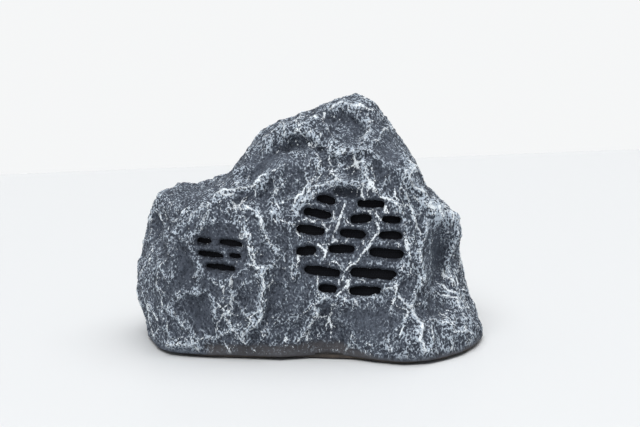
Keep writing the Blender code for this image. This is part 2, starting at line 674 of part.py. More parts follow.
def build_woofer():
    """A five-inch driver, from the cloth behind its grille to the back of its magnet."""
    back = -WOOFER_SKIN - GAP / MM
    span = (back - CLOTH_THICKNESS / MM, back)
    cylinder("woofer_cloth", 56.5, span, slot="grille_cloth", frame=woofer, sides=32)
    ring("woofer_gasket", 57.5, 60, (-20.3, -19.3), "foam", woofer, 28)
    basket = turned(
        "woofer_basket",
        ((WOOFER_FLANGE_R, -22.2), (57.5, -22.2), (56, -26), (48, -41), (39, -41), (36, -52), (18, -52)),
        "steel_black", woofer, 28, skin_mm=1.2,
    )
    windows = []
    for i in range(4):
        mesh = box_mesh("window", (24, 44, 12), (54, 0, -33.5))
        mesh.transform(Matrix.Rotation(math.radians(90 * i), 4, "Z"))
        windows.append(mesh)
    cut(basket, joined_cutter("basket_windows", windows, woofer))
    spots = ring_spots(WOOFER_SCREW_RING, 4, 45)
    cut(basket, joined_cutter(
        "basket_holes", [cylinder_mesh("hole", 2.0, (-25, -20), spot, sides=8) for spot in spots], woofer
    ))
    turned(
        "woofer_surround",
        ((59, -20.95), (55.6, -20.95), (54, -18), (50.5, -15.4), (47.2, -17.6), (46.2, -19.5), (44.4, -19.5)),
        "rubber", woofer, 24, skin_mm=0.7,
    )
    turned("woofer_cone", ((45.6, -20.6), (30, -30.5), (14, -37.5)), "cone_paper", woofer, 24, skin_mm=0.8)
    cap = ((17.6, -34.6), (14, -30.6), (8, -28), (0, -27))
    turned("woofer_dust_cap", cap, "cone_paper", woofer, 20, skin_mm=0.6)
    turned(
        "woofer_voice_coil",
        ((13, -38.4), (13, -53), (13.5, -53), (13.5, -61), (12.5, -61), (12.5, -38.4)),
        "copper_coil", woofer, 20, closed=True,
    )
    turned(
        "woofer_spider",
        ((46.5, -39.8), (39, -39.8), (34, -42.0), (29.5, -40.0), (25, -42.4), (20.5, -41.0), (14.2, -42.4)),
        "spider_cloth", woofer, 20, skin_mm=0.6,
    )
    ring("woofer_top_plate", 14.2, 38, (-57.9, -52.9), "zinc_steel", woofer)
    ring("woofer_magnet", 17, 42, (-72.2, -58.2), "ferrite", woofer)
    turned(
        "woofer_yoke",
        ((0, -53), (11.8, -53), (11.8, -72.5), (38, -72.5), (38, -77.5), (0, -77.5)),
        "zinc_steel", woofer,
    )
    for i, (u, v) in enumerate(spots):
        screw(f"woofer_screw_{i + 1}", 2.6, 2.0, 1.5, 10, woofer, (u, v, -23.1))


def build_tweeter():
    """A dome tweeter behind its own cloth."""
    back = -TWEETER_SKIN - GAP / MM
    cylinder("tweeter_cloth", 26.6, (back - CLOTH_THICKNESS / MM, back), slot="grille_cloth", frame=tweeter)
    frame_piece = turned(
        "tweeter_frame",
        ((TWEETER_FLANGE_R, -12), (24, -12), (22, -14), (20, -22.3), (15, -22.3)),
        "steel_black", tweeter, 20, skin_mm=1.2,
    )
    spots = ring_spots(TWEETER_SCREW_RING, 2, 0)
    holes = [cylinder_mesh("hole", 1.7, (-15, -10), spot, sides=8) for spot in spots]
    cut(frame_piece, joined_cutter("tweeter_holes", holes, tweeter))
    roll = ((20.4, -14.6), (17.6, -13.3), (15, -14.4), (13.4, -14.2))
    turned("tweeter_surround", roll, "silk_dome", tweeter, 20, skin_mm=0.5)
    dome = ((12.6, -27), (12.6, -14), (10.5, -11.6), (6, -9.8), (0, -9.2))
    turned("tweeter_dome", dome, "silk_dome", tweeter, 20, skin_mm=0.5)
    motor = (
        (0, -23.3), (11.4, -23.3), (11.4, -29), (13.8, -29),
        (13.8, -23.3), (20, -23.3), (20, -35), (0, -35),
    )
    turned("tweeter_magnet", motor, "ferrite", tweeter)
    for i, (u, v) in enumerate(spots):
        screw(f"tweeter_screw_{i + 1}", 2.7, 1.9, 1.25, 7, tweeter, (u, v, -12.9))


def build_panel():
    """Panel with its hinge ears and board posts, its gasket and its screws."""
    face = plate("control_panel", PANEL_SIZE, (PANEL_BACK, PANEL_FACE), 6, "panel_plastic", panel)
    ear_height = HINGE_Z + BARREL_R
    ear_size = (3, 2 * BARREL_R, ear_height - 3)
    reach = COVER_SIZE[0] / 2 + 2
    ears = [
        box_mesh("ear", ear_size, (COVER_AT[0] + side * reach, HINGE_V, (ear_height + 3) / 2))
        for side in (-1, 1)
    ]
    span = (BOARD_FRONT + 0.3, PANEL_BACK + 1)
    posts = [cylinder_mesh("post", 2.2, span, (u, 0), sides=12) for u in (-37, 37)]
    cut(face, joined_cutter("panel_ears", ears + posts, panel), "UNION")
    holes = [cylinder_mesh("hole", r + 0.5, (-3, 9), (u, v), sides=16) for u, v, r in BUTTONS.values()]
    holes.append(cylinder_mesh("hole", LIGHT_R + 0.3, (-3, 9), LIGHT_AT, sides=12))
    holes += [cylinder_mesh("hole", SOCKET_NOSE_R + 0.4, (-3, 5), at, sides=16) for at in (CHARGE_AT, AUX_AT)]
    holes += [cylinder_mesh("hole", 1.7, (-3, 9), spot, sides=10) for spot in PANEL_SCREWS]
    cut(face, joined_cutter("panel_holes", holes, panel))
    pin_hole = on_hinge("ear_pin_hole", PIN_R + 0.3, COVER_SIZE[0] + 12)
    cut(face, add_object(pin_hole.name, pin_hole, frame=panel, collection=cutters))
    seal = plate("panel_gasket", (PANEL_SIZE[0] - 1, PANEL_SIZE[1] - 1), (0.3, 1.3), 6, "foam", panel)
    cut(seal, plate("gasket_window", WINDOW_SIZE, (-5, 5), 3, frame=panel, collection=cutters))
    seal_holes = [cylinder_mesh("hole", 1.9, (-3, 5), spot, sides=8) for spot in PANEL_SCREWS]
    cut(seal, joined_cutter("gasket_holes", seal_holes, panel))
    for i, (u, v) in enumerate(PANEL_SCREWS):
        screw(f"panel_screw_{i + 1}", 2.8, 1.6, 1.25, 9, panel, (u, v, PANEL_FACE + 0.3), point_up=False)


def on_hinge(name, radius_mm, length_mm, sides=16):
    """A cylinder mesh lying along the port cover's hinge axis."""
    mesh = cylinder_mesh(name, radius_mm, (-length_mm / 2, length_mm / 2), sides=sides)
    mesh.transform(Matrix.Rotation(math.pi / 2, 4, "Y"))
    mesh.transform(Matrix.Translation((COVER_AT[0] * MM, HINGE_V * MM, HINGE_Z * MM)))
    return mesh


def build_controls():
    """Buttons, light pipe, sockets, the hinged port cover and the board behind them."""
    stem_end = SWITCH_TOP + BUTTON_TRAVEL + 0.3
    for name, (u, v, r) in BUTTONS.items():
        line = (
            (0, BUTTON_TOP), (r - 0.8, BUTTON_TOP), (r, BUTTON_TOP - 0.8), (r, 1.2),
            (r + 1, 1.2), (r + 1, -0.4), (2, -0.4), (2, stem_end), (0, stem_end),
        )
        turned(name, line, "button_plastic", panel, 16, at_mm=(u, v, 0))
    pipe = ((0, 4.9), (1.2, 4.6), (LIGHT_R, 3.9), (LIGHT_R, -9.4), (0, -9.4))
    turned("status_light", pipe, "light_pipe", panel, 12, at_mm=(*LIGHT_AT, 0))
    build_sockets()
    build_port_cover()
    board = box(
        "button_board", (78, 32, BOARD_FRONT - BOARD_BACK), (0, 0, (BOARD_FRONT + BOARD_BACK) / 2),
        "circuit_board", panel,
    )
    low = BOARD_FRONT - 0.5
    switches = [
        box_mesh("switch", (6, 6, SWITCH_TOP - low), (u, v, (SWITCH_TOP + low) / 2))
        for u, v, _ in BUTTONS.values()
    ]
    cut(board, joined_cutter("board_switches", switches, panel), "UNION")


def build_sockets():
    for name, at, bore_r, depth in (
        ("charge_socket", CHARGE_AT, CHARGE_BORE_R, 9),
        ("aux_socket", AUX_AT, AUX_BORE_R, 12),
    ):
        low = BOARD_FRONT + 0.3
        body = box(name, (11, 10, 1 - low), (*at, (1 + low) / 2), "socket_plastic", panel)
        nose = cylinder_mesh("nose", SOCKET_NOSE_R, (0, PANEL_FACE), at, sides=16)
        cut(body, add_object(f"{name}_nose", nose, frame=panel, collection=cutters), "UNION")
        bore = cylinder_mesh("bore", bore_r, (PANEL_FACE - depth, PANEL_FACE + 4), at, sides=12)
        cut(body, add_object(f"{name}_bore", bore, frame=panel, collection=cutters))
        if bore_r == CHARGE_BORE_R:
            pin = cylinder_mesh("pin", CHARGE_PIN_R, (PANEL_FACE - depth - 1, PANEL_FACE - 2), at, sides=10)
            cut(body, add_object("charge_pin", pin, frame=panel, collection=cutters), "UNION")


def build_port_cover():
    """A rubber flap under a barrel hinge, with a moulded pin at each end of the barrel."""
    u, v = COVER_AT
    width, height = COVER_SIZE
    low = PANEL_FACE + 0.3
    span = (low, low + COVER_THICKNESS)
    flap = plate("port_cover", (width, height), span, 2, "rubber", panel, centre_mm=(u, v))
    barrel = on_hinge("barrel", BARREL_R, width)
    pins = on_hinge("pins", PIN_R, width + 6.4, sides=10)
    neck = box_mesh("neck", (width - 6, 3.6, 1.6), (u, HINGE_V - 2, HINGE_Z + 0.05))
    pull = box_mesh("pull", (12, 3, 1.8), (u, v - height / 2 - 0.6, low + 1.2))
    for mesh in (neck, barrel, pins, pull):
        cut(flap, add_object(f"cover_{mesh.name}", mesh, frame=panel, collection=cutters), "UNION")


def build_electronics():
    """Main board with its module and heatsink, and the battery pack."""
    x, y = MAIN_BOARD_AT
    top = MAIN_BOARD_Z + 1.6
    box("main_board", (*MAIN_BOARD_SIZE, 1.6), (x, y, MAIN_BOARD_Z + 0.8), "circuit_board")
    box("bluetooth_module", (24, 15, 2.4), (x + 24, y + 16, top + 1.5), "module_can", bevel_mm=0.4)
    fins = box("amplifier_heatsink", (30, 24, 16), (x - 18, y + 8, top + 8.3), "aluminium")
    gaps = [box_mesh("fin_gap", (3, 30, 13), (x - 18 - 10 + 5 * i, y + 8, top + 4 + 8.3)) for i in range(5)]
    cut(fins, joined_cutter("fin_gaps", gaps))
    build_battery()


def build_battery():
    x, y = BATTERY_AT
    low = PLATE_TOP / MM + 0.3
    tray = box("battery_tray", (74, 46, 9), (x, y, low + 4.5), "base_plastic")
    cut(tray, box("tray_hollow", (69, 40, 12), (x, y, low + 8), collection=cutters))
    for i, side in enumerate((-1, 1)):
        axis_y, axis_z = y + side * (CELL_R + 0.4), low + 2.3 + CELL_R
        span = (-CELL_LENGTH / 2, CELL_LENGTH / 2)
        obj = cylinder(f"battery_cell_{i + 1}", CELL_R, span, slot="cell_wrap", sides=20)
        obj.rotation_euler = (0, math.pi / 2, 0)
        obj.location = (x * MM, axis_y * MM, axis_z * MM)
    top = low + 2.3 + 2 * CELL_R
    strap = box("battery_strap", (16, 49.2, top + 1.5 - low), (x, y, (top + 1.5 + low) / 2), "webbing")
    inside = (20, 46.6, top + 0.3 - low + 10)
    cut(strap, box("strap_inside", inside, (x, y, top + 0.3 - inside[2] / 2), collection=cutters))


def build_leads():
    """The wires that join the boards, the battery and the drivers."""
    board_top = MAIN_BOARD_Z + 1.6
    tube("woofer_lead", ((52, -2, board_top + 1.6), (52, -2, 26), (70, 4, 52), (98, -10, 78), (99, -36, 96),
                         (93, -42, 104)), 1.2, "lead_red", 22)
    tube("tweeter_lead", ((40, 10, board_top + 1.6), (36, 10, 24), (0, 30, 44), (-50, 20, 76), (-80, -20, 98),
                          (-79, -40, 104)), 1.2, "lead_red", 24)
    tube("battery_lead", ((-26.6, 8, 16), (-18, 8, 16), (-2, 14, 10), (18, 20, 12), (30, 20, 17),
                          (37, 20, board_top + 1.6)), 1.2, "lead_red", 18)
    tube("panel_lead", ((60, 44, board_top + 1.6), (58, 52, 24), (40, 66, 44), (10, 72, 58), (-6, 76, 60),
                        (-10, 80, 60)), 1.2, "lead_red", 20)


clear_scene()
parts = new_collection("rock_speaker")
cutters = new_collection("cutters")
woofer = frame_empty("woofer_frame", WOOFER_AT, WOOFER_LEAN, WOOFER_TURN)
tweeter = frame_empty("tweeter_frame_origin", TWEETER_AT, TWEETER_LEAN, TWEETER_TURN)
panel = frame_empty("panel_frame", PANEL_AT, 0, 0, away_from_front=True)
rock_fit, rock_cavity = build_shell()
build_underside(rock_fit, rock_cavity)
build_woofer()
build_tweeter()
build_panel()
build_controls()
build_electronics()
build_leads()
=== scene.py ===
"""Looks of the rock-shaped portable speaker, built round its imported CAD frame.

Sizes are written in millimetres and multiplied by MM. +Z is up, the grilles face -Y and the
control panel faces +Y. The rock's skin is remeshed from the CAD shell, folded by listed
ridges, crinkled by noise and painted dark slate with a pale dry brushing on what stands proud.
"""

import math

import bmesh
import bpy
import numpy as np
from mathutils import Matrix, Vector, noise
from mathutils.bvhtree import BVHTree
from mathutils.kdtree import KDTree


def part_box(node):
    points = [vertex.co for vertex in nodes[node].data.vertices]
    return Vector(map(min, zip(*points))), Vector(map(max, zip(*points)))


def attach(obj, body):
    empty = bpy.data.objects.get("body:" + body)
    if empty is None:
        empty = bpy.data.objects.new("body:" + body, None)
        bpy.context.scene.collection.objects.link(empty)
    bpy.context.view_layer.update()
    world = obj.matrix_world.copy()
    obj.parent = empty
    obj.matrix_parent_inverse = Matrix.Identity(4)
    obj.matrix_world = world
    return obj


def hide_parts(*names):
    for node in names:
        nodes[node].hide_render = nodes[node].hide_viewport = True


NOISE_SEED = 7  # noise_vector is shifted by it, and would take it from the clock if it were left unset
noise.seed_set(NOISE_SEED)

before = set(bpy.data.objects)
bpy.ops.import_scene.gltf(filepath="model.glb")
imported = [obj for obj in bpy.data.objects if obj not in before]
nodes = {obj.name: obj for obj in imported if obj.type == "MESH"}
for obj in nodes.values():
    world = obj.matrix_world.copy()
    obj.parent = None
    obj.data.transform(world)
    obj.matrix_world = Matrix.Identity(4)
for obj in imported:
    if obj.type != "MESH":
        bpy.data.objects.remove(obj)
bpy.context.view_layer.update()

MM = 0.001
ROOT = "rock"

# --- the drivers' and the panel's frames, as in the CAD: place, lean back and turn ---
WOOFER_AT, WOOFER_LEAN, WOOFER_TURN = (39, -87, 115), 10, 0
TWEETER_AT, TWEETER_LEAN, TWEETER_TURN = (-84, -84, 106), 6, -11
PANEL_AT = (-20, 94, 62)

# --- the rock's skin ---
VOXEL = 1.35 * MM
HIDDEN = 0.03  # a spot that sees less of the sky than this share is inside the shell
INSIDE_KEPT, BACK_KEPT = 0.02, 0.23  # shares of the hidden faces, and of the back's, that stay
WOOFER_RIM_R, TWEETER_RIM_R = 55, 27.5
HEM_TOP = 16  # the smooth band along the foot of the front

THIN_HEIGHT, THIN_HALF = 1.5, 2
THIN_LINES = (  # thin pale lines of the front: paint, then x, z points
    (1.0, ((-62, 150), (-50, 141), (-43, 128), (-36, 118), (-26, 106), (-22, 98))),
    (1.0, ((-36, 93), (-46, 91), (-53, 104), (-56, 118), (-62, 130))),
    (1.0, ((-112, 128), (-106, 140), (-98, 150), (-88, 154), (-70, 157))),
    (0.9, ((-76, 150), (-74, 142))),
    (0.9, ((-84, 108), (-78, 100), (-76, 94))),
    (1.0, ((-113, 76), (-106, 86), (-103, 96), (-112, 106), (-118, 118))),
    (1.0, ((-86, 58), (-80, 50), (-78, 40), (-72, 30), (-62, 22))),
    (0.9, ((-72, 66), (-66, 54), (-58, 46), (-52, 36))),
    (0.9, ((-22, 80), (-18, 68), (-22, 60))),
    (1.0, ((-14, 96), (-18, 88), (-14, 80))),
    (1.0, ((-10, 138), (-16, 146), (-8, 158), (0, 166))),
    (0.9, ((-20, 186), (-26, 174), (-24, 162))),
    (0.9, ((2, 190), (-4, 180), (0, 168))),
    (1.0, ((93, 158), (98, 146), (100, 132), (106, 120))),
    (0.9, ((126, 70), (134, 58), (146, 50), (158, 44))),
    (1.0, ((86, 62), (96, 52), (90, 40), (86, 28))),
    (0.9, ((16, 62), (4, 56), (-4, 46), (-14, 40))),
    (0.9, ((-128, 46), (-122, 34), (-110, 24), (-112, 14))),
    (0.9, ((-146, 70), (-140, 58), (-142, 44))),
    (0.9, ((-150, 96), (-142, 88), (-136, 76))),
)
# Folds of the front, in millimetres: height, half width, paint, then x, z points. A fold with
# a negative height is a groove, and paint is how heavily the dry brushing catches it; a negative paint darkens
# the fold instead, as painted shade in grooves and under lips.
FOLDS = (
    # the lip that climbs to the peak, the valley under it, darkened with painted shade, and the smooth ledge
    # below that
    (4.5, 6, 0.6, ((-104, 166), (-87, 169), (-70, 172), (-56, 180), (-46, 188), (-38, 200), (-27, 210),
                   (-12, 214), (2, 211), (11, 205), (18, 199), (27, 197))),
    (-8, 7, -0.6, ((-48, 182), (-34, 196), (-22, 202), (-10, 205), (2, 204), (12, 198))),
    (3.5, 7, 0.0, ((-66, 170), (-58, 177), (-41, 185), (-22, 192), (2, 196), (14, 194))),
    (4, 3.5, 1.0, ((-89, 152), (-82, 158), (-65, 161), (-51, 162), (-46, 168), (-40, 174), (-34, 177),
                   (-25, 184))),
    (-3.5, 6, -0.2, ((-70, 152), (-56, 153), (-42, 160), (-36, 168))),
    # the rest of the left slope
    (3, 5, 0.3, ((-62, 186), (-50, 196), (-43, 204), (-34, 214), (-22, 219))),
    (-4, 5, -0.4, ((-64, 178), (-52, 189), (-45, 198))),
    (4, 6, 0.4, ((-18, 224), (-8, 227), (4, 226))),
    # the peak: its brow, the scoop under it, and the ridge down its right side
    (3.5, 4, 0.9, ((18, 233), (26, 237), (36, 239), (44, 237), (55, 236))),
    (-6, 6, -0.7, ((16, 228), (28, 229), (42, 225), (50, 219))),
    (-4, 12, 0.0, ((26, 214), (38, 210))),
    (4, 4, 0.8, ((57, 222), (58, 214), (54, 204), (49, 198), (36, 197), (29, 193))),
    (3, 3.5, 0.7, ((29, 178), (29, 189), (33, 199), (41, 200), (48, 196), (52, 184), (53, 176))),
    (-5, 7, -0.6, ((39, 191), (41, 184))),
    (2.5, 3, 0.6, ((9, 205), (9, 193), (7, 187), (14, 179))),
    (4, 4.5, 0.6, ((49, 198), (60, 197), (74, 187), (86, 180), (92, 172))),
    (-3, 9, -0.2, ((74, 200), (84, 190))),
    (3, 7, 1.2, ((91, 194), (99, 182), (92, 172), (100, 163), (108, 155))),
    # the right shoulder, the hollow beside the woofer and the ridges on both sides of it
    (4, 4.5, 0.7, ((94, 172), (105, 157), (110, 147), (120, 140), (133, 141))),
    (4, 7, 1.2, ((117, 141), (124, 134), (133, 137), (137, 128))),
    (-3.5, 10, 0.0, ((117, 118), (117, 102), (119, 84), (124, 64))),
    (-3, 3.5, -0.6, ((129, 98), (129, 84), (131, 68))),
    (5, 4, 0.8, ((112, 128), (109, 116), (104, 107), (104, 96), (109, 82), (102, 68), (97, 54))),
    (5, 4, 1.4, ((97, 54), (101, 43), (105, 34), (104, 24), (108, 15))),
    (5, 4.5, 0.8, ((142, 134), (145, 117), (141, 103), (136, 90), (134, 77), (138, 62), (148, 54))),
    (3, 3.5, 0.9, ((123, 62), (140, 49), (151, 38), (160, 30))),
    (3, 3.5, 0.9, ((112, 40), (126, 36), (140, 27), (156, 20))),
    (-4, 7, -0.3, ((118, 48), (130, 44))),
    # the middle and left of the front
    (4.5, 3.5, 1.5, ((-36, 93), (-44, 86), (-42, 73), (-46, 57), (-46, 44), (-55, 34), (-63, 28), (-60, 21))),
    (-3.5, 6, -0.3, ((-33, 74), (-36, 58), (-37, 44))),
    (3, 3.5, 1.0, ((-46, 142), (-44, 132), (-41, 123), (-35, 114), (-28, 101), (-32, 95))),
    (3, 3, 0.8, ((-34, 172), (-33, 158), (-35, 141))),
    (3, 3, 0.7, ((-93, 148), (-94, 140), (-101, 132), (-104, 122))),
    (4, 4, 0.7, ((-112, 139), (-129, 115), (-133, 102), (-128, 98), (-131, 76))),
    (-5, 7, -0.6, ((-121, 104), (-118, 90), (-119, 78))),
    (3.5, 3.5, 0.9, ((-109, 118), (-111, 110), (-108, 99), (-101, 86), (-106, 76), (-108, 64))),
    (3, 3, 0.8, ((-108, 64), (-119, 64), (-133, 52), (-131, 43))),
    (3, 3, 0.8, ((-108, 64), (-98, 67), (-92, 56), (-89, 43))),
    (-5, 9, -0.5, ((-107, 52), (-104, 38))),
    (-7, 9, -0.6, ((-152, 124), (-149, 106))),
    (3, 3.5, 0.9, ((-156, 130), (-148, 122), (-138, 113))),
    (3, 4, 0.9, ((-69, 33), (-81, 27), (-96, 20), (-135, 11))),
    (3, 3.5, 0.9, ((8, 50), (2, 38), (-4, 30), (-10, 20))),
    (-6, 10, -0.6, ((18, 46), (24, 24))),
    (3, 3.5, 0.9, ((-8, 149), (0, 160), (14, 168), (30, 170), (46, 169))),
    (3, 3.5, 0.8, ((-10, 116), (-5, 102), (-10, 92), (-15, 82))),
    (-3, 7, -0.3, ((-60, 60), (-68, 44))),
    *((THIN_HEIGHT, THIN_HALF, paint, line) for paint, line in THIN_LINES),
    # the shaded top of the tweeter's recess, and the shaded blind slot over the woofer
    (-3, 3.5, -0.9, ((-103, 114), (-96, 122), (-86, 126), (-76, 124), (-67, 116))),
    (-1.5, 3, -0.6, ((17, 158), (29, 160), (41, 157))),
)
# Thin pale lines that wind between the woofer's slots, as x, z points
GRILLE_LINES = (
    ((54, 171), (52, 164), (51, 157), (56, 150)),
    ((35, 152), (31, 141), (28, 128), (25, 120), (29, 115)),
    ((9, 113), (16, 104), (20, 112), (27, 117)),
    ((16, 104), (14, 97), (22, 92)),
    ((47, 98), (49, 104), (56, 110), (60, 118), (67, 125), (66, 132)),
    ((33, 80), (37, 90), (43, 94), (48, 101)),
    ((27, 64), (37, 73), (41, 66)),
    ((62, 166), (67, 157), (78, 154), (86, 145), (91, 141)),
    ((-9, 134), (-13, 126), (-9, 121)),
    ((-10, 105), (-8, 98), (-12, 92)),
    ((0, 152), (6, 146), (14, 142)),
)
# The slots' lower walls slope: how far they climb inwards and how far the lip drops, woofer and tweeter
SLOT_SLOPES = ((0.3, 1.3), (1.3, 1.0))
LIP_REACH, LIP_DROP = 3.6, 2.0  # how far from a slot its lip starts to round over, and how deep it falls
RAGGED = ((0.55, 6.0), (0.4, 3.0))  # how far the slots' edges stray sideways, and over what length
HEM_DROP, HEM_OUT = 2.6, 0.6  # how far the skin's foot laps down over the base's seal, and stands off it
WANDERS = ((3.0, 15), (1.4, 5.5))  # how far folds stray from their lines, and over what length
RELIEF = 1.15  # the heights in FOLDS are multiplied by it
DEEPEST = 7.5  # how far a groove may go in: the inner wall gives way with it
# Ridges all over: pattern size, height and paint
WRINKLES = ((26, 1.8, 0.9), (12, 0.6, 0.85))
BEHIND = ((64, 4.0, 0.1), (31, 3.2, 0.58))  # folds of the sides and back: size, height and paint
VEIN = 0.9  # height in millimetres of the thin crest lines, which the dry brush picks out
CRINKLE = 0.9  # height in millimetres of the moulded crinkle
# Smooth patches of the front, where the crinkle fades: x, z, half width, half height, strength
CALM = (
    (-32, 184, 34, 11, 0.6),
    (36, 214, 12, 12, 0.5),
    (34, 248, 22, 7, 0.6),
    (80, 192, 16, 14, 0.6),
    (122, 96, 11, 32, 0.8),
    (-120, 84, 12, 16, 0.5),
    (-106, 42, 12, 14, 0.5),
    (-110, 152, 26, 8, 0.6),
    (-12, 62, 16, 18, 0.4),
    (58, 38, 26, 15, 0.5),
)

# Patches of the front made paler (+) or darker (-), in the same terms: partly pale paint that the rock took,
# partly painted light, as on the peak lit from above, the hollow beside the woofer lifted out of its shade, and
# the tweeter's recess and the left side darkened with painted shade
PALER = (
    (144, 22, 30, 24, 0.55),
    (34, 242, 26, 9, 0.45),
    (38, 214, 16, 13, 0.45),
    (128, 136, 16, 12, 0.4),
    (122, 96, 11, 32, 0.7),
    (-125, 156, 34, 14, -0.1),
    (-36, 200, 30, 10, 0.1),
    (98, 160, 16, 20, 0.3),
    (-84, 106, 27, 26, -0.45),
    (58, 40, 28, 16, -0.4),
    (-112, 84, 34, 56, -0.5),
    (-26, 90, 26, 50, -0.35),
)

# --- cloth behind the grilles, in the drivers' frames ---
WEAVE_PITCH, WEAVE_RISE = 1.7, 0.22  # from thread to thread, and how far they stand up and down
CLOTH_THICK = 0.3
CLOTHS = ((56.5, -7.7), (26.6, -6.7))  # radius and height of the woofer's and the tweeter's

# --- the control panel, in its own frame: u right, v up, z out of the rock ---
PANEL_HALF = (51, 26)
PANEL_FACE, BUTTON_TOP, BUTTON_FOOT, STEM_END = 4.1, 6.0, -0.4, -5.8
BUTTONS = {  # u, v, radius, the body that carries it
    "power_button": (-30, 8.5, 6, "power"),
    "play_pair_button": (-10, 8.5, 4.5, "play_pair"),
    "volume_down_button": (10, 8.5, 4.5, "volume_down"),
    "volume_up_button": (30, 8.5, 4.5, "volume_up"),
}
LIGHT_AT, LIGHT_R = (-30, -9.5), 1.7
COVER_AT, COVER_HALF, COVER_TOP = (9, -10.5), (21, 6.5), 6.8
SOCKETS = {"charge_socket": ((-3, -11), 3.2), "aux_socket": ((20, -11), 1.8)}  # place and bore
PANEL_SCREWS = ((-45.5, -20.5), (45.5, -20.5), (45.5, 20.5), (-45.5, 20.5))

# --- the underside ---
FEET = ((-118, -58), (112, -82), (124, 52), (-108, 58))

# --- camera, as the photograph was taken ---
CAMERA_AT = (0.011, -1.4724, 0.4118)
CAMERA_DOWN = 11  # degrees below level
LENS, SENSOR = 84, 36

# --- stage ---
TABLE_EDGE, TABLE_TURN = 1.085, 14.3  # the table's far edge: metres behind the rock, and degrees
HORIZON, DIM, BRIGHT = 0.93, 0.26, 0.6  # the dome's brightness at its foot, above that, and overhead

# --- colours, linear ---
SLATE_DARK, SLATE, SLATE_PALE = (0.014, 0.018, 0.027), (0.056, 0.067, 0.090), (0.110, 0.131, 0.166)
STIPPLE, DRY_BRUSH = (0.47, 0.54, 0.62), (0.86, 0.92, 0.97)
EARTH = (0.055, 0.042, 0.032)

# Moulded, metal and paper finishes by slot: dark and pale colour, grain in millimetres and how it is
# stretched, lowest and highest roughness, metallic, bump in millimetres
GRAINS = {
    "base_plastic": ((0.016, 0.012, 0.010), (0.062, 0.047, 0.036), 9, (1, 1, 0.2), 0.55, 0.8, 0, 0.25),
    "foam": ((0.010, 0.009, 0.009), (0.040, 0.036, 0.034), 0.9, (1, 1, 1), 0.9, 1.0, 0, 0.3),
    "rubber": ((0.034, 0.034, 0.037), (0.075, 0.075, 0.080), 1.6, (1, 1, 1), 0.6, 0.8, 0, 0.05),
    "steel_black": ((0.010, 0.010, 0.011), (0.030, 0.030, 0.032), 1.2, (1, 1, 1), 0.4, 0.6, 0, 0.06),
    "zinc_steel": ((0.42, 0.42, 0.41), (0.70, 0.70, 0.68), 1.1, (1, 1, 4), 0.25, 0.45, 1, 0.02),
    "ferrite": ((0.030, 0.030, 0.032), (0.075, 0.075, 0.080), 1.4, (1, 1, 1), 0.55, 0.8, 0, 0.08),
    "cone_paper": ((0.010, 0.010, 0.011), (0.040, 0.040, 0.042), 2.2, (1, 1, 0.4), 0.8, 0.95, 0, 0.15),
    "copper_coil": ((0.42, 0.17, 0.06), (0.72, 0.36, 0.16), 0.5, (0.2, 0.2, 3), 0.25, 0.4, 1, 0.05),
    "silk_dome": ((0.012, 0.012, 0.015), (0.035, 0.035, 0.042), 0.8, (1, 1, 1), 0.45, 0.65, 0, 0.04),
    "panel_plastic": ((0.018, 0.018, 0.020), (0.044, 0.044, 0.049), 0.9, (1, 1, 1), 0.5, 0.68, 0, 0.06),
    "button_plastic": ((0.060, 0.062, 0.068), (0.110, 0.114, 0.122), 0.7, (1, 1, 1), 0.38, 0.52, 0, 0.03),
    "socket_plastic": ((0.008, 0.008, 0.009), (0.020, 0.020, 0.022), 0.8, (1, 1, 1), 0.3, 0.45, 0, 0.03),
    "circuit_board": ((0.008, 0.060, 0.026), (0.030, 0.170, 0.080), 2.4, (1, 3, 1), 0.35, 0.55, 0, 0.08),
    "module_can": ((0.50, 0.50, 0.51), (0.74, 0.74, 0.75), 1.5, (4, 1, 1), 0.22, 0.38, 1, 0.02),
    "aluminium": ((0.42, 0.42, 0.43), (0.62, 0.62, 0.63), 1.2, (1, 5, 1), 0.3, 0.5, 1, 0.03),
    "cell_wrap": ((0.020, 0.090, 0.220), (0.060, 0.190, 0.420), 3.0, (0.3, 1, 1), 0.3, 0.42, 0, 0.03),
    "lead_red": ((0.240, 0.012, 0.010), (0.420, 0.030, 0.024), 1.4, (1, 1, 1), 0.4, 0.55, 0, 0.03),
    "mark_paint": ((0.66, 0.68, 0.70), (0.85, 0.87, 0.89), 0.8, (1, 1, 1), 0.5, 0.65, 0, 0.02),
}
# Woven finishes by slot: dark and pale colour, thread pitch in millimetres
WEAVES = {
    "grille_cloth": ((0.0003, 0.0004, 0.0006), (0.009, 0.010, 0.014), 1.7),
    "spider_cloth": ((0.300, 0.210, 0.070), (0.620, 0.480, 0.210), 0.9),
    "webbing": ((0.012, 0.012, 0.014), (0.050, 0.050, 0.056), 1.1),
}
GLOW, GLOW_STRENGTH = (0.10, 0.42, 1.0), 1.4


# --- Frames and mesh arrays ---
def driver_frame(at_mm, lean, turn, back=False):
    """A driver's or the panel's frame: local +Z leaves the rock and local +Y runs up its face."""
    place = Matrix.Translation([c * MM for c in at_mm])
    turned = Matrix.Rotation(math.radians(turn + (180 if back else 0)), 4, "Z")
    return place @ turned @ Matrix.Rotation(math.radians(90 - lean), 4, "X")


WOOFER = driver_frame(WOOFER_AT, WOOFER_LEAN, WOOFER_TURN)
TWEETER = driver_frame(TWEETER_AT, TWEETER_LEAN, TWEETER_TURN)
PANEL = driver_frame(PANEL_AT, 0, 0, back=True)
GRILLES = ((WOOFER, WOOFER_RIM_R), (TWEETER, TWEETER_RIM_R))


def to_local(matrix, points):
    inverse = np.array(matrix.inverted())
    return points @ inverse[:3, :3].T + inverse[:3, 3]


def smoothstep(low, high, value):
    """0 at low and 1 at high, whichever is larger."""
    t = np.clip((value - low) / (high - low), 0, 1)
    return t * t * (3 - 2 * t)


def read_rows(elements, key, width, kind=float):
    """A property of a mesh's elements as an array, with one row for each."""
    flat = np.empty(len(elements) * width, kind)
    elements.foreach_get(key, flat)
    return flat.reshape(-1, width)


def points_of(mesh):
    return read_rows(mesh.vertices, "co", 3)


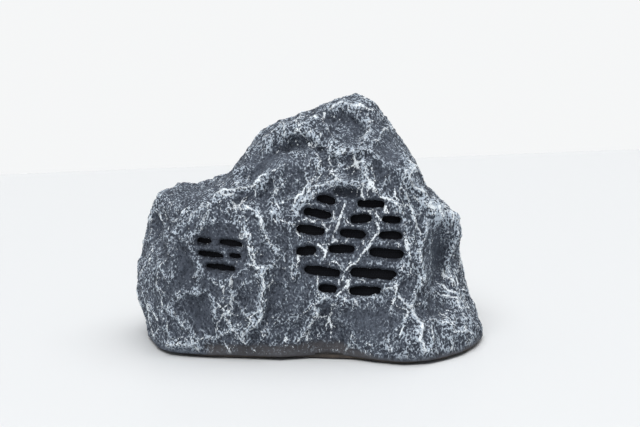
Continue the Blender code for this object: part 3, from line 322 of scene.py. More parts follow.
def normals_of(mesh):
    return read_rows(mesh.vertex_normals, "vector", 3)


def edges_of(mesh):
    return read_rows(mesh.edges, "vertices", 2, np.int32)


def set_points(mesh, points):
    mesh.vertices.foreach_set("co", points.ravel())
    mesh.update()


def blur(values, edges, times, share=0.5):
    """Each row drawn towards the average of its neighbours along the edges."""
    a, b = edges.T
    size = len(values)
    count = np.maximum(np.bincount(np.concatenate([a, b]), minlength=size), 1)
    values = values.copy()
    for _ in range(times):
        for k in range(values.shape[1]):
            column = values[:, k]
            total = np.bincount(a, column[b], size) + np.bincount(b, column[a], size)
            values[:, k] += share * (total / count - column)
    return values


def store(mesh, name, values):
    kind = "FLOAT_VECTOR" if values.ndim == 2 else "FLOAT"
    key = "vector" if values.ndim == 2 else "value"
    layer = mesh.attributes.new(name, kind, "POINT")
    layer.data.foreach_set(key, np.ascontiguousarray(values, np.float32).ravel())


def applied(obj):
    """The object's mesh with its modifiers applied and taken off."""
    graph = bpy.context.evaluated_depsgraph_get()
    mesh = bpy.data.meshes.new_from_object(obj.evaluated_get(graph), depsgraph=graph)
    obj.modifiers.clear()
    obj.data = mesh
    return mesh


def add_object(name, data):
    obj = bpy.data.objects.new(name, data)
    bpy.context.scene.collection.objects.link(obj)
    return obj


def mesh_from(bm, name, matrix=None):
    """A bmesh's mesh; the bmesh is freed. With a matrix, it is in millimetres in that frame."""
    if matrix is not None:
        bmesh.ops.transform(bm, matrix=matrix @ Matrix.Scale(MM, 4), verts=bm.verts)
    mesh = bpy.data.meshes.new(name)
    bm.to_mesh(mesh)
    bm.free()
    return mesh


# --- The rock's skin ---
def ray_directions(count):
    """Evenly spread unit vectors."""
    i = np.arange(count) + 0.5
    up = 1 - 2 * i / count
    turn = math.pi * (1 + math.sqrt(5)) * i
    flat = np.sqrt(1 - up * up)
    return [Vector(v) for v in zip(flat * np.cos(turn), flat * np.sin(turn), up)]


def open_share(mesh, blockers):
    """For each face, the share of the directions over it that meet nothing."""
    verts, faces = [], []
    for other in (mesh, *blockers):
        start = len(verts)
        verts += [v.co[:] for v in other.vertices]
        faces += [[start + i for i in p.vertices] for p in other.polygons]
    tree = BVHTree.FromPolygons(verts, faces)
    directions = ray_directions(64)
    shares = []
    for face in mesh.polygons:
        over = [d for d in directions if d.dot(face.normal) > 0.1]
        start = face.center + 0.3 * MM * face.normal
        free = sum(tree.ray_cast(start, d, 0.5)[0] is None for d in over)
        shares.append(free / len(over))
    return np.array(shares)


def thinned(obj, chosen, kept):
    """Collapses edges among the chosen vertices until this share of their faces is left."""
    group = obj.vertex_groups.new(name="thin")
    group.add(np.nonzero(chosen)[0].tolist(), 1, "REPLACE")
    thin = obj.modifiers.new("thin", "DECIMATE")
    thin.vertex_group = group.name
    thin.ratio = 1 - (1 - kept) * np.count_nonzero(chosen) / len(chosen)
    mesh = applied(obj)
    obj.vertex_groups.clear()
    return mesh


def fine_shell():
    """The CAD shell as an even fine mesh, thinned inside and behind, and how open each vertex is."""
    cad = nodes["rock_shell"].data
    blockers = [nodes[n].data for n in ("base_plate", "control_panel", "woofer_cloth", "tweeter_cloth")]
    shares = open_share(cad, blockers)
    tree = BVHTree.FromPolygons([v.co for v in cad.vertices], [p.vertices for p in cad.polygons])

    def openness_of(mesh, blurs):
        found = np.array([shares[tree.find_nearest(Vector(p))[2]] for p in points_of(mesh)])
        return blur(found[:, None], edges_of(mesh), blurs)[:, 0]

    shell = add_object("rock_skin", cad.copy())
    remesh = shell.modifiers.new("even", "REMESH")
    remesh.mode = "VOXEL"
    remesh.voxel_size = VOXEL
    mesh = applied(shell)
    mesh = thinned(shell, openness_of(mesh, 3) < HIDDEN, INSIDE_KEPT)
    facing = normals_of(mesh)
    behind = (openness_of(mesh, 3) >= HIDDEN) & (facing[:, 1] > -0.1) & (facing[:, 2] < 0.9)
    mesh = thinned(shell, behind, BACK_KEPT)
    return shell, openness_of(mesh, 6)


def line_distance(points, line):
    """Distance of 2-D points from a bent line whose corners are in millimetres."""
    nearest = np.full(len(points), np.inf)
    for a, b in zip(line, line[1:]):
        a, b = np.array(a) * MM, np.array(b) * MM
        share = np.clip(((points - a) @ (b - a)) / ((b - a) @ (b - a)), 0, 1)
        nearest = np.minimum(nearest, np.linalg.norm(points - a - share[:, None] * (b - a), axis=1))
    return nearest


def noise_at(points, size, seed=0):
    """Smooth noise of about -1 to 1 with features of this size."""
    shift = Vector((seed, 0.37 * seed, -seed))
    return np.array([noise.noise(Vector(p) / size + shift) for p in points])


def ring_rise(points, frame_matrix, radius_mm, half_mm):
    """1 on a circle of the grille's plane, falling off over half_mm to both sides of it."""
    local = to_local(frame_matrix, points) / MM
    reach = np.hypot(local[:, 0], local[:, 1])
    return np.exp(-(((reach - radius_mm) / half_mm) ** 2)) * (np.abs(local[:, 2]) < 14)


def inside_ring(points, frame_matrix, radius_mm, edge_mm):
    local = to_local(frame_matrix, points) / MM
    reach = np.hypot(local[:, 0], local[:, 1])
    return (1 - smoothstep(radius_mm - edge_mm, radius_mm + edge_mm, reach)) * (np.abs(local[:, 2]) < 14)


def wrinkle_at(points, size_mm, seed):
    """Winding ridges of this size over the whole rock: 1 on a crest, falling to about -0.6."""
    at = points * (1, 1, 0.62) / (size_mm * MM)
    bent = at + 0.35 * np.array([noise.noise_vector(Vector(p * 0.8 + seed)) for p in at])
    away = np.abs([noise.noise(Vector(p)) + 0.18 * noise.noise(Vector(3.1 * p)) for p in bent])
    return 1 - 1.6 * np.clip(away * 2.4, 0, 1) ** 0.7


def slot_distance(points, normals, matrix, radius):
    """How far a grille's points are from their nearest slots, and 1 above that slot, 0 beside or below it."""
    local = to_local(matrix, points) / MM
    facing = normals @ np.array(matrix.col[2][:3])
    near = inside_ring(points, matrix, radius, 1.5) > 0.3
    wall = near & (np.abs(facing) < 0.45) & (local[:, 2] < -2.2) & (local[:, 2] > -9)
    tree = KDTree(np.count_nonzero(wall))
    for k, (u, v, _) in enumerate(local[wall]):
        tree.insert((u, v, 0), k)
    tree.balance()
    away, above = np.full(len(points), 1e3), np.zeros(len(points))
    for i in np.nonzero(near & (local[:, 2] > -10))[0]:
        spot, _, away[i] = tree.find((local[i, 0], local[i, 1], 0))
        above[i] = max(0, local[i, 1] - spot.y) / max(away[i], 0.1)
    return away, above


def rounded_lips(points, away, matrix):
    """Moves that round a grille's slots over at their outer edges, and let those edges stray a little."""
    local = to_local(matrix, points) / MM
    fall = LIP_DROP * np.clip(1 - away / LIP_REACH, 0, 1) ** 2 * smoothstep(-7, -3, local[:, 2])
    stray = 1 - smoothstep(0.5, 4, away)
    flat = np.column_stack([local[:, 0], local[:, 1], np.zeros(len(local))]) * MM
    move = np.zeros((len(points), 3))
    chosen = np.nonzero(stray)[0]
    for k, (reach, size) in enumerate(RAGGED):
        for side in (0, 1):
            rough = noise_at(flat[chosen], size * MM, 31 + 7 * k + 3 * side)
            move[chosen, side] += reach * stray[chosen] * rough
    move[:, 2] -= fall
    return move @ np.array(matrix)[:3, :3].T * MM


def free_skin(points, edges, openness):
    """1 where the skin may move, falling to 0 inside the shell, at its foot and round the panel's pocket."""
    skin = smoothstep(0.06, 0.4, openness) * smoothstep(8.5, 11, points[:, 2] / MM)
    pocket = to_local(PANEL, points) / MM
    skin *= 1 - (np.abs(pocket[:, 0]) < 55.5) * (np.abs(pocket[:, 1]) < 30.5) * (pocket[:, 2] > -9)
    return blur(skin[:, None], edges, 2)[:, 0]


def slope_slots(points, normals):
    """Tilts the slots' lower walls, which climb inwards and drop at their lips."""
    for (matrix, radius), (climb, drop) in zip(GRILLES, SLOT_SLOPES):
        up = np.array(matrix.col[1][:3])
        depth = to_local(matrix, points)[:, 2] / MM
        wall = smoothstep(0.25, 0.75, normals @ up) * inside_ring(points, matrix, radius, 1.5) * (depth > -9)
        move = climb * smoothstep(0, -4.5, depth) - drop * smoothstep(-3.5, -0.5, depth)
        points += (wall * move * MM)[:, None] * up


def patches(points, rows):
    """How strongly each patch of a table covers each point, fading at its edge."""
    x, z = points[:, 0] / MM, points[:, 2] / MM
    found = []
    for mid_x, mid_z, half_x, half_z, strength in rows:
        away = ((x - mid_x) / half_x) ** 2 + ((z - mid_z) / half_z) ** 2
        found.append(strength * np.exp(-(away**2)))
    return found


def sculpt(mesh, openness):
    """Folds the front along listed lines, and leaves the attributes that the paint and crinkle read."""
    edges = edges_of(mesh)
    points = points_of(mesh)
    skin = free_skin(points, edges, openness)
    disc = np.maximum(*(inside_ring(points, matrix, radius, 1.5) for matrix, radius in GRILLES))
    melted = blur(points, edges, 7)
    relaxed = blur(melted, edges, 37)
    points += (melted - points) * (disc * (openness > 0.01))[:, None]
    points += (relaxed - points) * (skin * (1 - disc))[:, None]
    set_points(mesh, points)
    slope_slots(points, normals_of(mesh))
    set_points(mesh, points)
    normals = normals_of(mesh)

    front = smoothstep(0.05, 0.45, -normals[:, 1])
    behind = smoothstep(0.05, 0.45, normals[:, 1]) * (openness < HIDDEN) * (points[:, 1] < 0.02)
    flat = points[:, [0, 2]].copy()
    for k, (reach, size) in enumerate(WANDERS):
        flat[:, 0] += reach * MM * noise_at(points, size * MM, 3 + k)
        flat[:, 1] += reach * MM * noise_at(points, size * MM, 8 + k)
    uneven = 1 + 0.6 * noise_at(points, 9 * MM, 5)
    rise, brush_and_painted_light, vein = np.zeros(len(points)), np.zeros(len(points)), np.zeros(len(points))
    for height, half_width, paint, line in FOLDS:
        away = line_distance(flat, line) / MM
        near = np.exp(-((away / half_width) ** 1.4))
        rise += RELIEF * height * near * uneven
        brush_and_painted_light += paint * near**1.5
        vein = np.maximum(vein, min(paint, 1.1) * np.exp(-away / 1.2))
    vein *= front * (1 - disc)
    winding = np.min([line_distance(flat, line) for line in GRILLE_LINES], axis=0) / MM
    winding = 1.25 * np.exp(-winding / 1.4) * np.clip(uneven, 0.4, 1)
    vein = np.maximum(vein, winding * inside_ring(points, WOOFER, WOOFER_RIM_R + 3, 3))
    rise *= 1 - 0.85 * disc
    yields = np.clip(rise, -DEEPEST, 0) * behind
    wooded = ring_rise(points, WOOFER, WOOFER_RIM_R, 3.5)
    tweeted = ring_rise(points, TWEETER, TWEETER_RIM_R, 2.8)
    rise += (1.6 * wooded + 1.8 * tweeted) * uneven - 1.2 * disc
    brush_and_painted_light = brush_and_painted_light * front + 0.4 * (wooded + tweeted) * uneven
    rise = np.clip(rise, -DEEPEST, 9) * front
    rear = smoothstep(-0.1, 0.5, normals[:, 1]) * smoothstep(-20, 10, points[:, 1] / MM)
    rear *= 1 - 0.9 * smoothstep(222, 238, points[:, 2] / MM)
    for k, (size, height, paint) in enumerate(BEHIND):
        crest = wrinkle_at(points, size, 61 + 9 * k)
        rise += height * crest * rear
        brush_and_painted_light += 0.7 * paint * np.clip(crest, -0.5, 0.7) * rear
        vein = np.maximum(vein, 1.6 * paint * np.clip(crest, 0, 1) ** 2 * np.clip(uneven, 0, 1.1) * rear)
    calm = np.max(patches(points, CALM), axis=0) * front
    # Paler and darker patches: partly pale paint, partly painted highlights and painted shade
    paler = sum(patch * front for patch in patches(points, PALER))
    brush_and_painted_light += paler
    for k, (size, height, paint) in enumerate(WRINKLES):
        crest = wrinkle_at(points, size, 20 + 9 * k)
        rise += height * crest * (1 - calm) * (1 - 0.6 * disc)
        vein = np.maximum(vein, paint * np.clip(crest, 0, 1) ** 2 * (1 - calm) * np.clip(uneven, 0, 1.2))
    rise += VEIN * vein
    plain_normals = normals  # before the grilles' points are turned to face straight out
    for matrix, radius in GRILLES:
        inside = inside_ring(points, matrix, radius, 1.5)[:, None]
        normals = normals * (1 - inside) + np.array(matrix.col[2][:3]) * inside
    points += normals * ((rise * skin - yields) * MM)[:, None]
    foot = (1 - smoothstep(8.5, 12, points[:, 2] / MM)) * smoothstep(0.03, 0.1, openness)
    outwards = normals * (1, 1, 0)
    points += (foot * MM)[:, None] * (HEM_OUT * outwards - np.array((0, 0, HEM_DROP)))
    lip, sill_highlight = np.zeros(len(points)), np.zeros(len(points))
    for matrix, radius in GRILLES:
        away, above = slot_distance(points, plain_normals, matrix, radius)
        points += rounded_lips(points, away, matrix)
        # Painted shade over each slot, under its upper lip: less pale paint, fewer veins and less stipple
        # there, strongest above the slot and faint round its other sides
        lip = np.maximum(lip, (1 - smoothstep(0.8, 3.2, away)) * (0.1 + 0.9 * above))
        depth = to_local(matrix, points)[:, 2] / MM
        # The slots' lower lips, which face up to the light, are kept out of the painted shade: a painted
        # highlight
        sill_highlight = np.maximum(sill_highlight, (1 - smoothstep(0.5, 3, away)) * (1 - above) * smoothstep(-5, -2, depth))
    lip *= np.clip(0.8 + 0.8 * noise_at(points, 5 * MM, 41), 0, 1)
    set_points(mesh, points)

    hem_top = HEM_TOP - 10 * smoothstep(30, 70, points[:, 0] / MM)
    hem = 1 - smoothstep(hem_top - 3, hem_top + 3, points[:, 2] / MM + 2.5 * noise_at(points, 12 * MM, 11))
    hem *= smoothstep(-104, -92, points[:, 0] / MM) * front
    bend = curvature(mesh, edges)
    store(mesh, "rest", points)
    store(mesh, "skin", skin)
    bend_paint = 0.45 - 0.35 * inside_ring(points, TWEETER, TWEETER_RIM_R, 1.5)
    vein = np.maximum(vein, bend_paint * smoothstep(0.4, 1, bend)) * (1 + 0.5 * np.clip(paler, -1, 0))
    # How pale the paint is: dry brushing on ridges and crests, painted highlights on some patches such as the
    # peak, and painted shade where it is negative, in grooves, above the slots and on the recessed grille discs
    store(mesh, "brush_and_painted_light", np.clip(0.7 * brush_and_painted_light + 0.3 * bend - 0.8 * lip - 0.3 * disc, -0.8, 1.2))
    store(mesh, "vein", np.clip(vein * (1 - 0.5 * lip), 0, 1))
    store(mesh, "rough", np.clip(1 - calm - 0.9 * hem, 0, 1) * (1 - 0.2 * disc) * (1 - 0.5 * lip))
    store(mesh, "hem", hem)
    # shade: how much of the sky the skin sees, blurred, which the paint turns into painted shade where it is
    # low; raised at the slots' lower lips as a painted highlight
    store(mesh, "shade", blur(openness[:, None], edges, 4)[:, 0] + 0.5 * sill_highlight)


def curvature(mesh, edges):
    """How far the skin bulges (+) or dips (-) against its surroundings, in about a centimetre's reach."""
    points, normals = points_of(mesh), normals_of(mesh)
    around = blur(points, edges, 60)
    bend = ((points - around) * normals).sum(axis=1) / MM
    return np.clip(blur(bend[:, None], edges, 3)[:, 0], -1, 1)


# --- The crinkle: one chain of noise nodes, used alike by the mesh and by the paint ---
def feed(tree, socket, value):
    """Links an input to another node's socket, or sets it to a plain value."""
    if isinstance(value, bpy.types.NodeSocket):
        tree.links.new(value, socket)
    else:
        socket.default_value = value


def node(tree, kind, inputs=(), **settings):
    made = tree.nodes.new(kind)
    for key, value in settings.items():
        setattr(made, key, value)
    for key, value in dict(inputs).items():
        feed(tree, made.inputs[key], value)
    return made


def maths(tree, operation, a, b=0.0, clamp=False):
    made = node(tree, "ShaderNodeMath", operation=operation, use_clamp=clamp)
    for socket, value in zip(made.inputs, (a, b)):
        feed(tree, socket, value)
    return made.outputs[0]


def added(tree, a, b):
    return maths(tree, "ADD", a, b)


def product(tree, a, b, clamp=False):
    return maths(tree, "MULTIPLY", a, b, clamp)


def weighed(tree, *parts):
    """The sum of sockets, each times its weight."""
    total = None
    for value, weight in parts:
        part = product(tree, value, weight)
        total = added(tree, total, part) if total else part
    return total


def vector_maths(tree, operation, a, b):
    """A vector sum, difference or product, or with SCALE the vector a times the number b."""
    second = "Scale" if operation == "SCALE" else 1
    return node(tree, "ShaderNodeVectorMath", {0: a, second: b}, operation=operation).outputs[0]


def between(tree, value, low, high, to_low=0.0, to_high=1.0):
    """Runs smoothly from to_low to to_high as the value goes from low to high."""
    ends = {"Value": value, "From Min": low, "From Max": high, "To Min": to_low, "To Max": to_high}
    return node(tree, "ShaderNodeMapRange", ends, interpolation_type="SMOOTHSTEP").outputs["Result"]


def noise_node(tree, at, scale, detail=2.0, roughness=0.5):
    return node(
        tree, "ShaderNodeTexNoise", {"Vector": at, "Scale": scale, "Detail": detail, "Roughness": roughness}
    )


def worm(tree, at, scale, sharpness):
    """Thin winding ridges: 1 where a noise crosses its middle value, and 0 away from there."""
    value = noise_node(tree, at, scale, 1.5).outputs[0]
    away = maths(tree, "ABSOLUTE", maths(tree, "SUBTRACT", value, 0.5))
    return maths(tree, "SUBTRACT", 1.0, product(tree, away, sharpness), clamp=True)


def crinkle(tree, rest, keen=1.0):
    """Height of the moulded crinkle, about 0 to 1, from the skin's resting place. keen narrows its lines."""
    swirl = noise_node(tree, rest, 90.0, 2.0).outputs[1]
    swirl = vector_maths(tree, "SUBTRACT", swirl, (0.5, 0.5, 0.5))
    swirl = vector_maths(tree, "SCALE", swirl, 0.006)
    bent = vector_maths(tree, "ADD", rest, swirl)
    tall = vector_maths(tree, "MULTIPLY", bent, (1.0, 1.0, 0.7))
    patches = between(tree, noise_node(tree, rest, 110.0, 1.0).outputs[0], 0.38, 0.62)
    broad = product(tree, worm(tree, tall, 170.0, 17.0 * keen), patches)
    fine = worm(tree, tall, 360.0, 14.0 * keen)
    grain = noise_node(tree, bent, 700.0, 1.0, 0.6).outputs[0]
    return weighed(tree, (broad, 0.38), (fine, 0.34), (between(tree, grain, 0.4, 0.68), 0.28))


def crinkle_mesh(obj, height_mm):
    """Moves the skin out along its normals by the crinkle, with a node modifier that is then applied."""
    tree = bpy.data.node_groups.new("crinkle", "GeometryNodeTree")
    tree.interface.new_socket("Geometry", in_out="INPUT", socket_type="NodeSocketGeometry")
    tree.interface.new_socket("Geometry", in_out="OUTPUT", socket_type="NodeSocketGeometry")
    start, end = tree.nodes.new("NodeGroupInput"), tree.nodes.new("NodeGroupOutput")

    def named(name, kind):
        held = node(tree, "GeometryNodeInputNamedAttribute", {"Name": name}, data_type=kind)
        return held.outputs["Attribute"]

    rise = maths(tree, "SUBTRACT", crinkle(tree, named("rest", "FLOAT_VECTOR"), 0.6), 0.3)
    rise = product(tree, rise, product(tree, named("skin", "FLOAT"), named("rough", "FLOAT")))
    rise = product(tree, rise, height_mm * MM)
    normal = tree.nodes.new("GeometryNodeInputNormal").outputs[0]
    offset = vector_maths(tree, "SCALE", normal, rise)
    move = node(tree, "GeometryNodeSetPosition", {"Geometry": start.outputs[0], "Offset": offset})
    tree.links.new(move.outputs[0], end.inputs[0])
    obj.modifiers.new("crinkle", "NODES").node_group = tree
    return applied(obj)


# --- Materials ---
def new_material(name):
    made = bpy.data.materials.new(name)
    made.use_nodes = True
    return made, made.node_tree, made.node_tree.nodes["Principled BSDF"]


def mix(tree, share, a, b, blend="MIX"):
    """A colour mix. Each of a and b is a socket or a colour."""
    made = node(tree, "ShaderNodeMix", data_type="RGBA", blend_type=blend)
    for k, value in ((0, share), (6, a), (7, b)):
        feed(tree, made.inputs[k], (*value, 1) if isinstance(value, tuple) else value)
    return made.outputs[2]


def bump(tree, height, depth_mm, strength=1.0):
    made = node(tree, "ShaderNodeBump", {"Height": height, "Distance": depth_mm * MM, "Strength": strength})
    return made.outputs[0]


def rock_material():
    """Slate washed darker in the hollows as painted shade, mid grey on the skin, painted shade in the crinkle's
    dips, and a pale dry brushing that catches the crinkle.
    """
    made, tree, shader = new_material("rock_paint_look")

    def named(name, output="Fac"):
        return node(tree, "ShaderNodeAttribute", attribute_name=name).outputs[output]

    rest = named("rest", "Vector")
    brush_and_painted_light, vein, rough = named("brush_and_painted_light"), named("vein"), named("rough")
    shade, hem, skin = named("shade"), named("hem"), named("skin")
    high = crinkle(tree, rest)
    proud = product(tree, high, rough)
    cloud = noise_node(tree, rest, 28.0, 3.0, 0.6).outputs[0]
    mottle = noise_node(tree, rest, 260.0, 3.0, 0.7).outputs[0]
    upright = vector_maths(tree, "MULTIPLY", rest, (1.0, 1.0, 0.75))
    specks = noise_node(tree, upright, 560.0, 2.0, 0.6).outputs[0]
    squiggles = worm(tree, upright, 230.0, 7.0)
    strokes = weighed(tree, (specks, 0.8), (squiggles, 0.2))
    ragged = noise_node(tree, upright, 760.0, 2.0, 0.7).outputs[0]

    body = mix(tree, between(tree, mottle, 0.35, 0.7), SLATE, SLATE_PALE)
    body = mix(tree, between(tree, cloud, 0.42, 0.62, 0.0, 0.4), body, SLATE)
    # Paler where the paint measure is high, from dry brushing and painted highlights, and darker where painted
    # shade makes it negative
    body = mix(tree, between(tree, brush_and_painted_light, 0.1, 0.8, 0.0, 0.3), body, SLATE_PALE)
    body = mix(tree, between(tree, brush_and_painted_light, 0.0, -0.6, 0.0, 0.5), body, SLATE)
    # Painted shade in the crinkle's dips: darker where its strokes are low, as if shaded crevices
    dips = product(tree, between(tree, strokes, 0.48, 0.36), between(tree, rough, 0.1, 0.7))
    body = mix(tree, product(tree, dips, 0.75), body, SLATE_DARK)
    # A dark wash and painted shade: darker where the skin sees little of the sky and where the paint measure is
    # negative, lighter on the ridges
    wash_and_painted_shade = between(tree, added(tree, shade, product(tree, brush_and_painted_light, 0.55)), 0.62, 0.1, 0.0, 0.85)
    body = mix(tree, wash_and_painted_shade, body, SLATE_DARK)
    body = mix(tree, product(tree, hem, 0.55), body, EARTH)

    reach = weighed(tree, (brush_and_painted_light, 0.09), (cloud, 0.16), (proud, 0.16))
    bits = between(tree, added(tree, strokes, reach), 0.688, 0.73)
    bits = product(tree, bits, product(tree, skin, between(tree, rough, 0.0, 0.9, 0.35, 1.0)))
    body = mix(tree, product(tree, bits, between(tree, brush_and_painted_light, -0.5, 0.3, 0.3, 1.0)), body, STIPPLE)
    line = added(tree, vein, product(tree, proud, 0.45))
    line = added(tree, line, product(tree, ragged, 1.1))
    caught = product(tree, between(tree, line, 1.30, 1.38), skin)
    caught = product(tree, caught, between(tree, cloud, 0.3, 0.55, 0.45, 1.0))
    tree.links.new(mix(tree, caught, body, DRY_BRUSH), shader.inputs["Base Color"])
    tree.links.new(between(tree, mottle, 0.3, 0.7, 0.72, 0.92), shader.inputs["Roughness"])
    relief = weighed(tree, (strokes, 1.6), (high, 0.6))
    relief = product(tree, relief, product(tree, skin, between(tree, rough, 0.0, 0.9, 0.3, 1.0)))
    tree.links.new(bump(tree, relief, 1.3, 0.9), shader.inputs["Normal"])
    shader.inputs["Specular IOR Level"].default_value = 0.3
    return made


def grained(slot):
    """A moulded, metal or paper finish: cloudy colour, uneven gloss and a fine surface grain."""
    dark, pale, size_mm, stretch, smooth, dull, metallic, depth_mm = GRAINS[slot]
    made, tree, shader = new_material(slot + "_look")
    place = node(tree, "ShaderNodeTexCoord").outputs["Object"]
    place = vector_maths(tree, "MULTIPLY", place, stretch)
    grain = noise_node(tree, place, 1 / (size_mm * MM), 3.0, 0.6).outputs[0]
    cloud = noise_node(tree, place, 0.12 / (size_mm * MM), 2.0).outputs[0]
    both = weighed(tree, (grain, 0.5), (cloud, 0.5))
    tree.links.new(mix(tree, between(tree, both, 0.38, 0.62), dark, pale), shader.inputs["Base Color"])
    tree.links.new(between(tree, both, 0.35, 0.65, smooth, dull), shader.inputs["Roughness"])
    tree.links.new(bump(tree, grain, depth_mm, 0.6), shader.inputs["Normal"])
    shader.inputs["Metallic"].default_value = metallic
    return made


def woven(slot):
    """Plain weave on the front's plane: threads along x and z that pass over and under each other."""
    dark, pale, pitch_mm = WEAVES[slot]
    made, tree, shader = new_material(slot + "_look")
    place = node(tree, "ShaderNodeTexCoord").outputs["Object"]
    x, y, z = node(tree, "ShaderNodeSeparateXYZ", {0: place}).outputs
    turn = math.pi / (pitch_mm * MM)
    across = maths(tree, "SINE", product(tree, added(tree, x, y), turn))
    along = maths(tree, "SINE", product(tree, z, turn))
    threads = maths(tree, "MAXIMUM", maths(tree, "ABSOLUTE", across), maths(tree, "ABSOLUTE", along))
    over = product(tree, across, along)
    height = added(tree, between(tree, threads, 0.55, 1.0), product(tree, over, 0.25))
    fuzz = noise_node(tree, place, 900.0, 2.0).outputs[0]
    shown = product(tree, height, between(tree, fuzz, 0.3, 0.7, 0.6, 1.0), clamp=True)
    tree.links.new(mix(tree, shown, dark, pale), shader.inputs["Base Color"])
    tree.links.new(between(tree, fuzz, 0.3, 0.7, 0.85, 1.0), shader.inputs["Roughness"])
    tree.links.new(bump(tree, height, 0.25, 0.8), shader.inputs["Normal"])
    shader.inputs["Specular IOR Level"].default_value = 0.15
    return made


def glowing():
    """A clear light pipe, lit from behind: brightest at its middle clouds."""
    made, tree, shader = new_material("light_pipe_look")
    place = node(tree, "ShaderNodeTexCoord").outputs["Object"]
    cloud = noise_node(tree, place, 700.0, 2.0).outputs[0]
    colour = mix(tree, between(tree, cloud, 0.3, 0.7), GLOW, (0.75, 0.9, 1.0))
    tree.links.new(colour, shader.inputs["Base Color"])
    tree.links.new(colour, shader.inputs["Emission Color"])
    tree.links.new(between(tree, cloud, 0.3, 0.7, 0.1, 0.25), shader.inputs["Roughness"])
    shader.inputs["Emission Strength"].default_value = GLOW_STRENGTH
    return made


def look(slot):
    """The finish for one of the record's slots, made once."""
    found = bpy.data.materials.get(slot + "_look")
    if found:
        return found
    if slot in WEAVES:
        return woven(slot)
    return glowing() if slot == "light_pipe" else grained(slot)


def finish_node(obj):
    for held in obj.material_slots:
        held.material = look(held.material.name)


# --- Small pieces ---
def piece(name, bm, slot, body, matrix, replaced=(), finish=None, smooth_deg=35):
    """A finished piece from a mesh in millimetres in this frame, which rides on a body."""
    bmesh.ops.recalc_face_normals(bm, faces=bm.faces)
    mesh = mesh_from(bm, name, matrix)
    mesh.shade_smooth()
    mesh.set_sharp_from_angle(angle=math.radians(smooth_deg))
    mesh.materials.append(look(finish or slot))
    obj = add_object(name, mesh)
    if replaced:
        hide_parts(*replaced)
    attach(obj, body)
    return obj


def lathe(bm, line, at=(0, 0), steps=40):
    """Turns (radius, z) corners, in order round a closed section, about the upright line at this spot."""
    rows = []
    for k in range(steps):
        turn = 2 * math.pi * k / steps
        out_u, out_v = math.cos(turn), math.sin(turn)
        rows.append([bm.verts.new((at[0] + r * out_u, at[1] + r * out_v, z)) for r, z in line])
    for k in range(steps):
        here, there = rows[k], rows[(k + 1) % steps]
        for i in range(len(line)):
            j = (i + 1) % len(line)
            bm.faces.new((here[i], there[i], there[j], here[j]))
    bmesh.ops.remove_doubles(bm, verts=bm.verts, dist=0.002)
    bmesh.ops.delete(bm, geom=[e for e in bm.edges if not e.link_faces], context="EDGES")


def prism(bm, outline, low, high):
    """A straight block over a flat outline."""
    foot = [bm.verts.new((u, v, low)) for u, v in outline]
    head = [bm.verts.new((u, v, high)) for u, v in outline]
    bm.faces.new(foot[::-1])
    bm.faces.new(head)
    for i in range(len(outline)):
        j = (i + 1) % len(outline)
        bm.faces.new((foot[i], foot[j], head[j], head[i]))


def bar(u, v, half_u, half_v):
    """Outline of a straight bar about this spot."""
    return [(u + a * half_u, v + b * half_v) for a, b in ((-1, -1), (1, -1), (1, 1), (-1, 1))]


def cross(u, v, reach, half):
    quarter = ((reach, -half), (reach, half), (half, half))
    outline = []
    for a, b in ((1, 0), (0, 1), (-1, 0), (0, -1)):
        outline += [(u + a * p - b * q, v + b * p + a * q) for p, q in quarter]
    return outline


def arc(u, v, radius, half_width, start_deg, end_deg, steps=28):
    """Outline of a curved bar."""
    turns = [math.radians(start_deg + (end_deg - start_deg) * k / steps) for k in range(steps + 1)]
    outer = [(u + r * math.cos(t), v + r * math.sin(t)) for r in (radius + half_width,) for t in turns]
    inner = [(u + r * math.cos(t), v + r * math.sin(t)) for r in (radius - half_width,) for t in turns]
    return outer + inner[::-1]


def round_rect(u, v, half_u, half_v, radius, steps=6):
    corners = ((1, 1, 0), (-1, 1, 90), (-1, -1, 180), (1, -1, 270))
    outline = []
    for side_u, side_v, start in corners:
        for k in range(steps + 1):
            t = math.radians(start + 90 * k / steps)
            at_u = u + side_u * (half_u - radius) + radius * math.cos(t)
            outline.append((at_u, v + side_v * (half_v - radius) + radius * math.sin(t)))
    return outline


def bead(bm, outline, inset, low, high):
    """A raised line with a rounded top that follows a closed convex outline."""
    ring = np.array(outline)
    middle = ring.mean(axis=0)
    away = ring - middle
    length = np.linalg.norm(away, axis=1)[:, None]
    section = ((0, low), (0.12, high - 0.08), (0.35, high), (0.65, high), (0.88, high - 0.08), (1, low))
    rows = []
    for share, z in section:
        moved = ring - away / length * inset * share
        rows.append([bm.verts.new((*p, z)) for p in moved])
    for k in range(len(rows)):
        here, there = rows[k], rows[(k + 1) % len(rows)]
        for i in range(len(ring)):
            j = (i + 1) % len(ring)
            bm.faces.new((here[i], here[j], there[j], there[i]))


def cut_away(obj, tool):
    """Takes the tool, an object, out of obj."""
    made = obj.modifiers.new("cut", "BOOLEAN")
    made.operation, made.solver, made.object = "DIFFERENCE", "EXACT", tool
    materials = list(obj.data.materials)
    mesh = applied(obj)
    mesh.materials.clear()
    for held in materials:
        mesh.materials.append(held)
    bpy.data.objects.remove(tool)
    mesh.set_sharp_from_angle(angle=math.radians(35))


def cross_head(name, line, matrix, at, top, up=1):
    """A turned screw with a cross recess in the top of its head; up is -1 where the head looks down."""
    bm = bmesh.new()
    lathe(bm, line, at, 32)
    obj = piece(name + "_detail", bm, "zinc_steel", ROOT, matrix, (name,))
    tool = bmesh.new()
    low, high = sorted((top - 1.1 * up, top + 1.0 * up))
    prism(tool, cross(*at, 0.62 * max(r for r, _ in line), 0.38), low, high)
    cut_away(obj, add_object("tool", mesh_from(tool, "tool", matrix)))


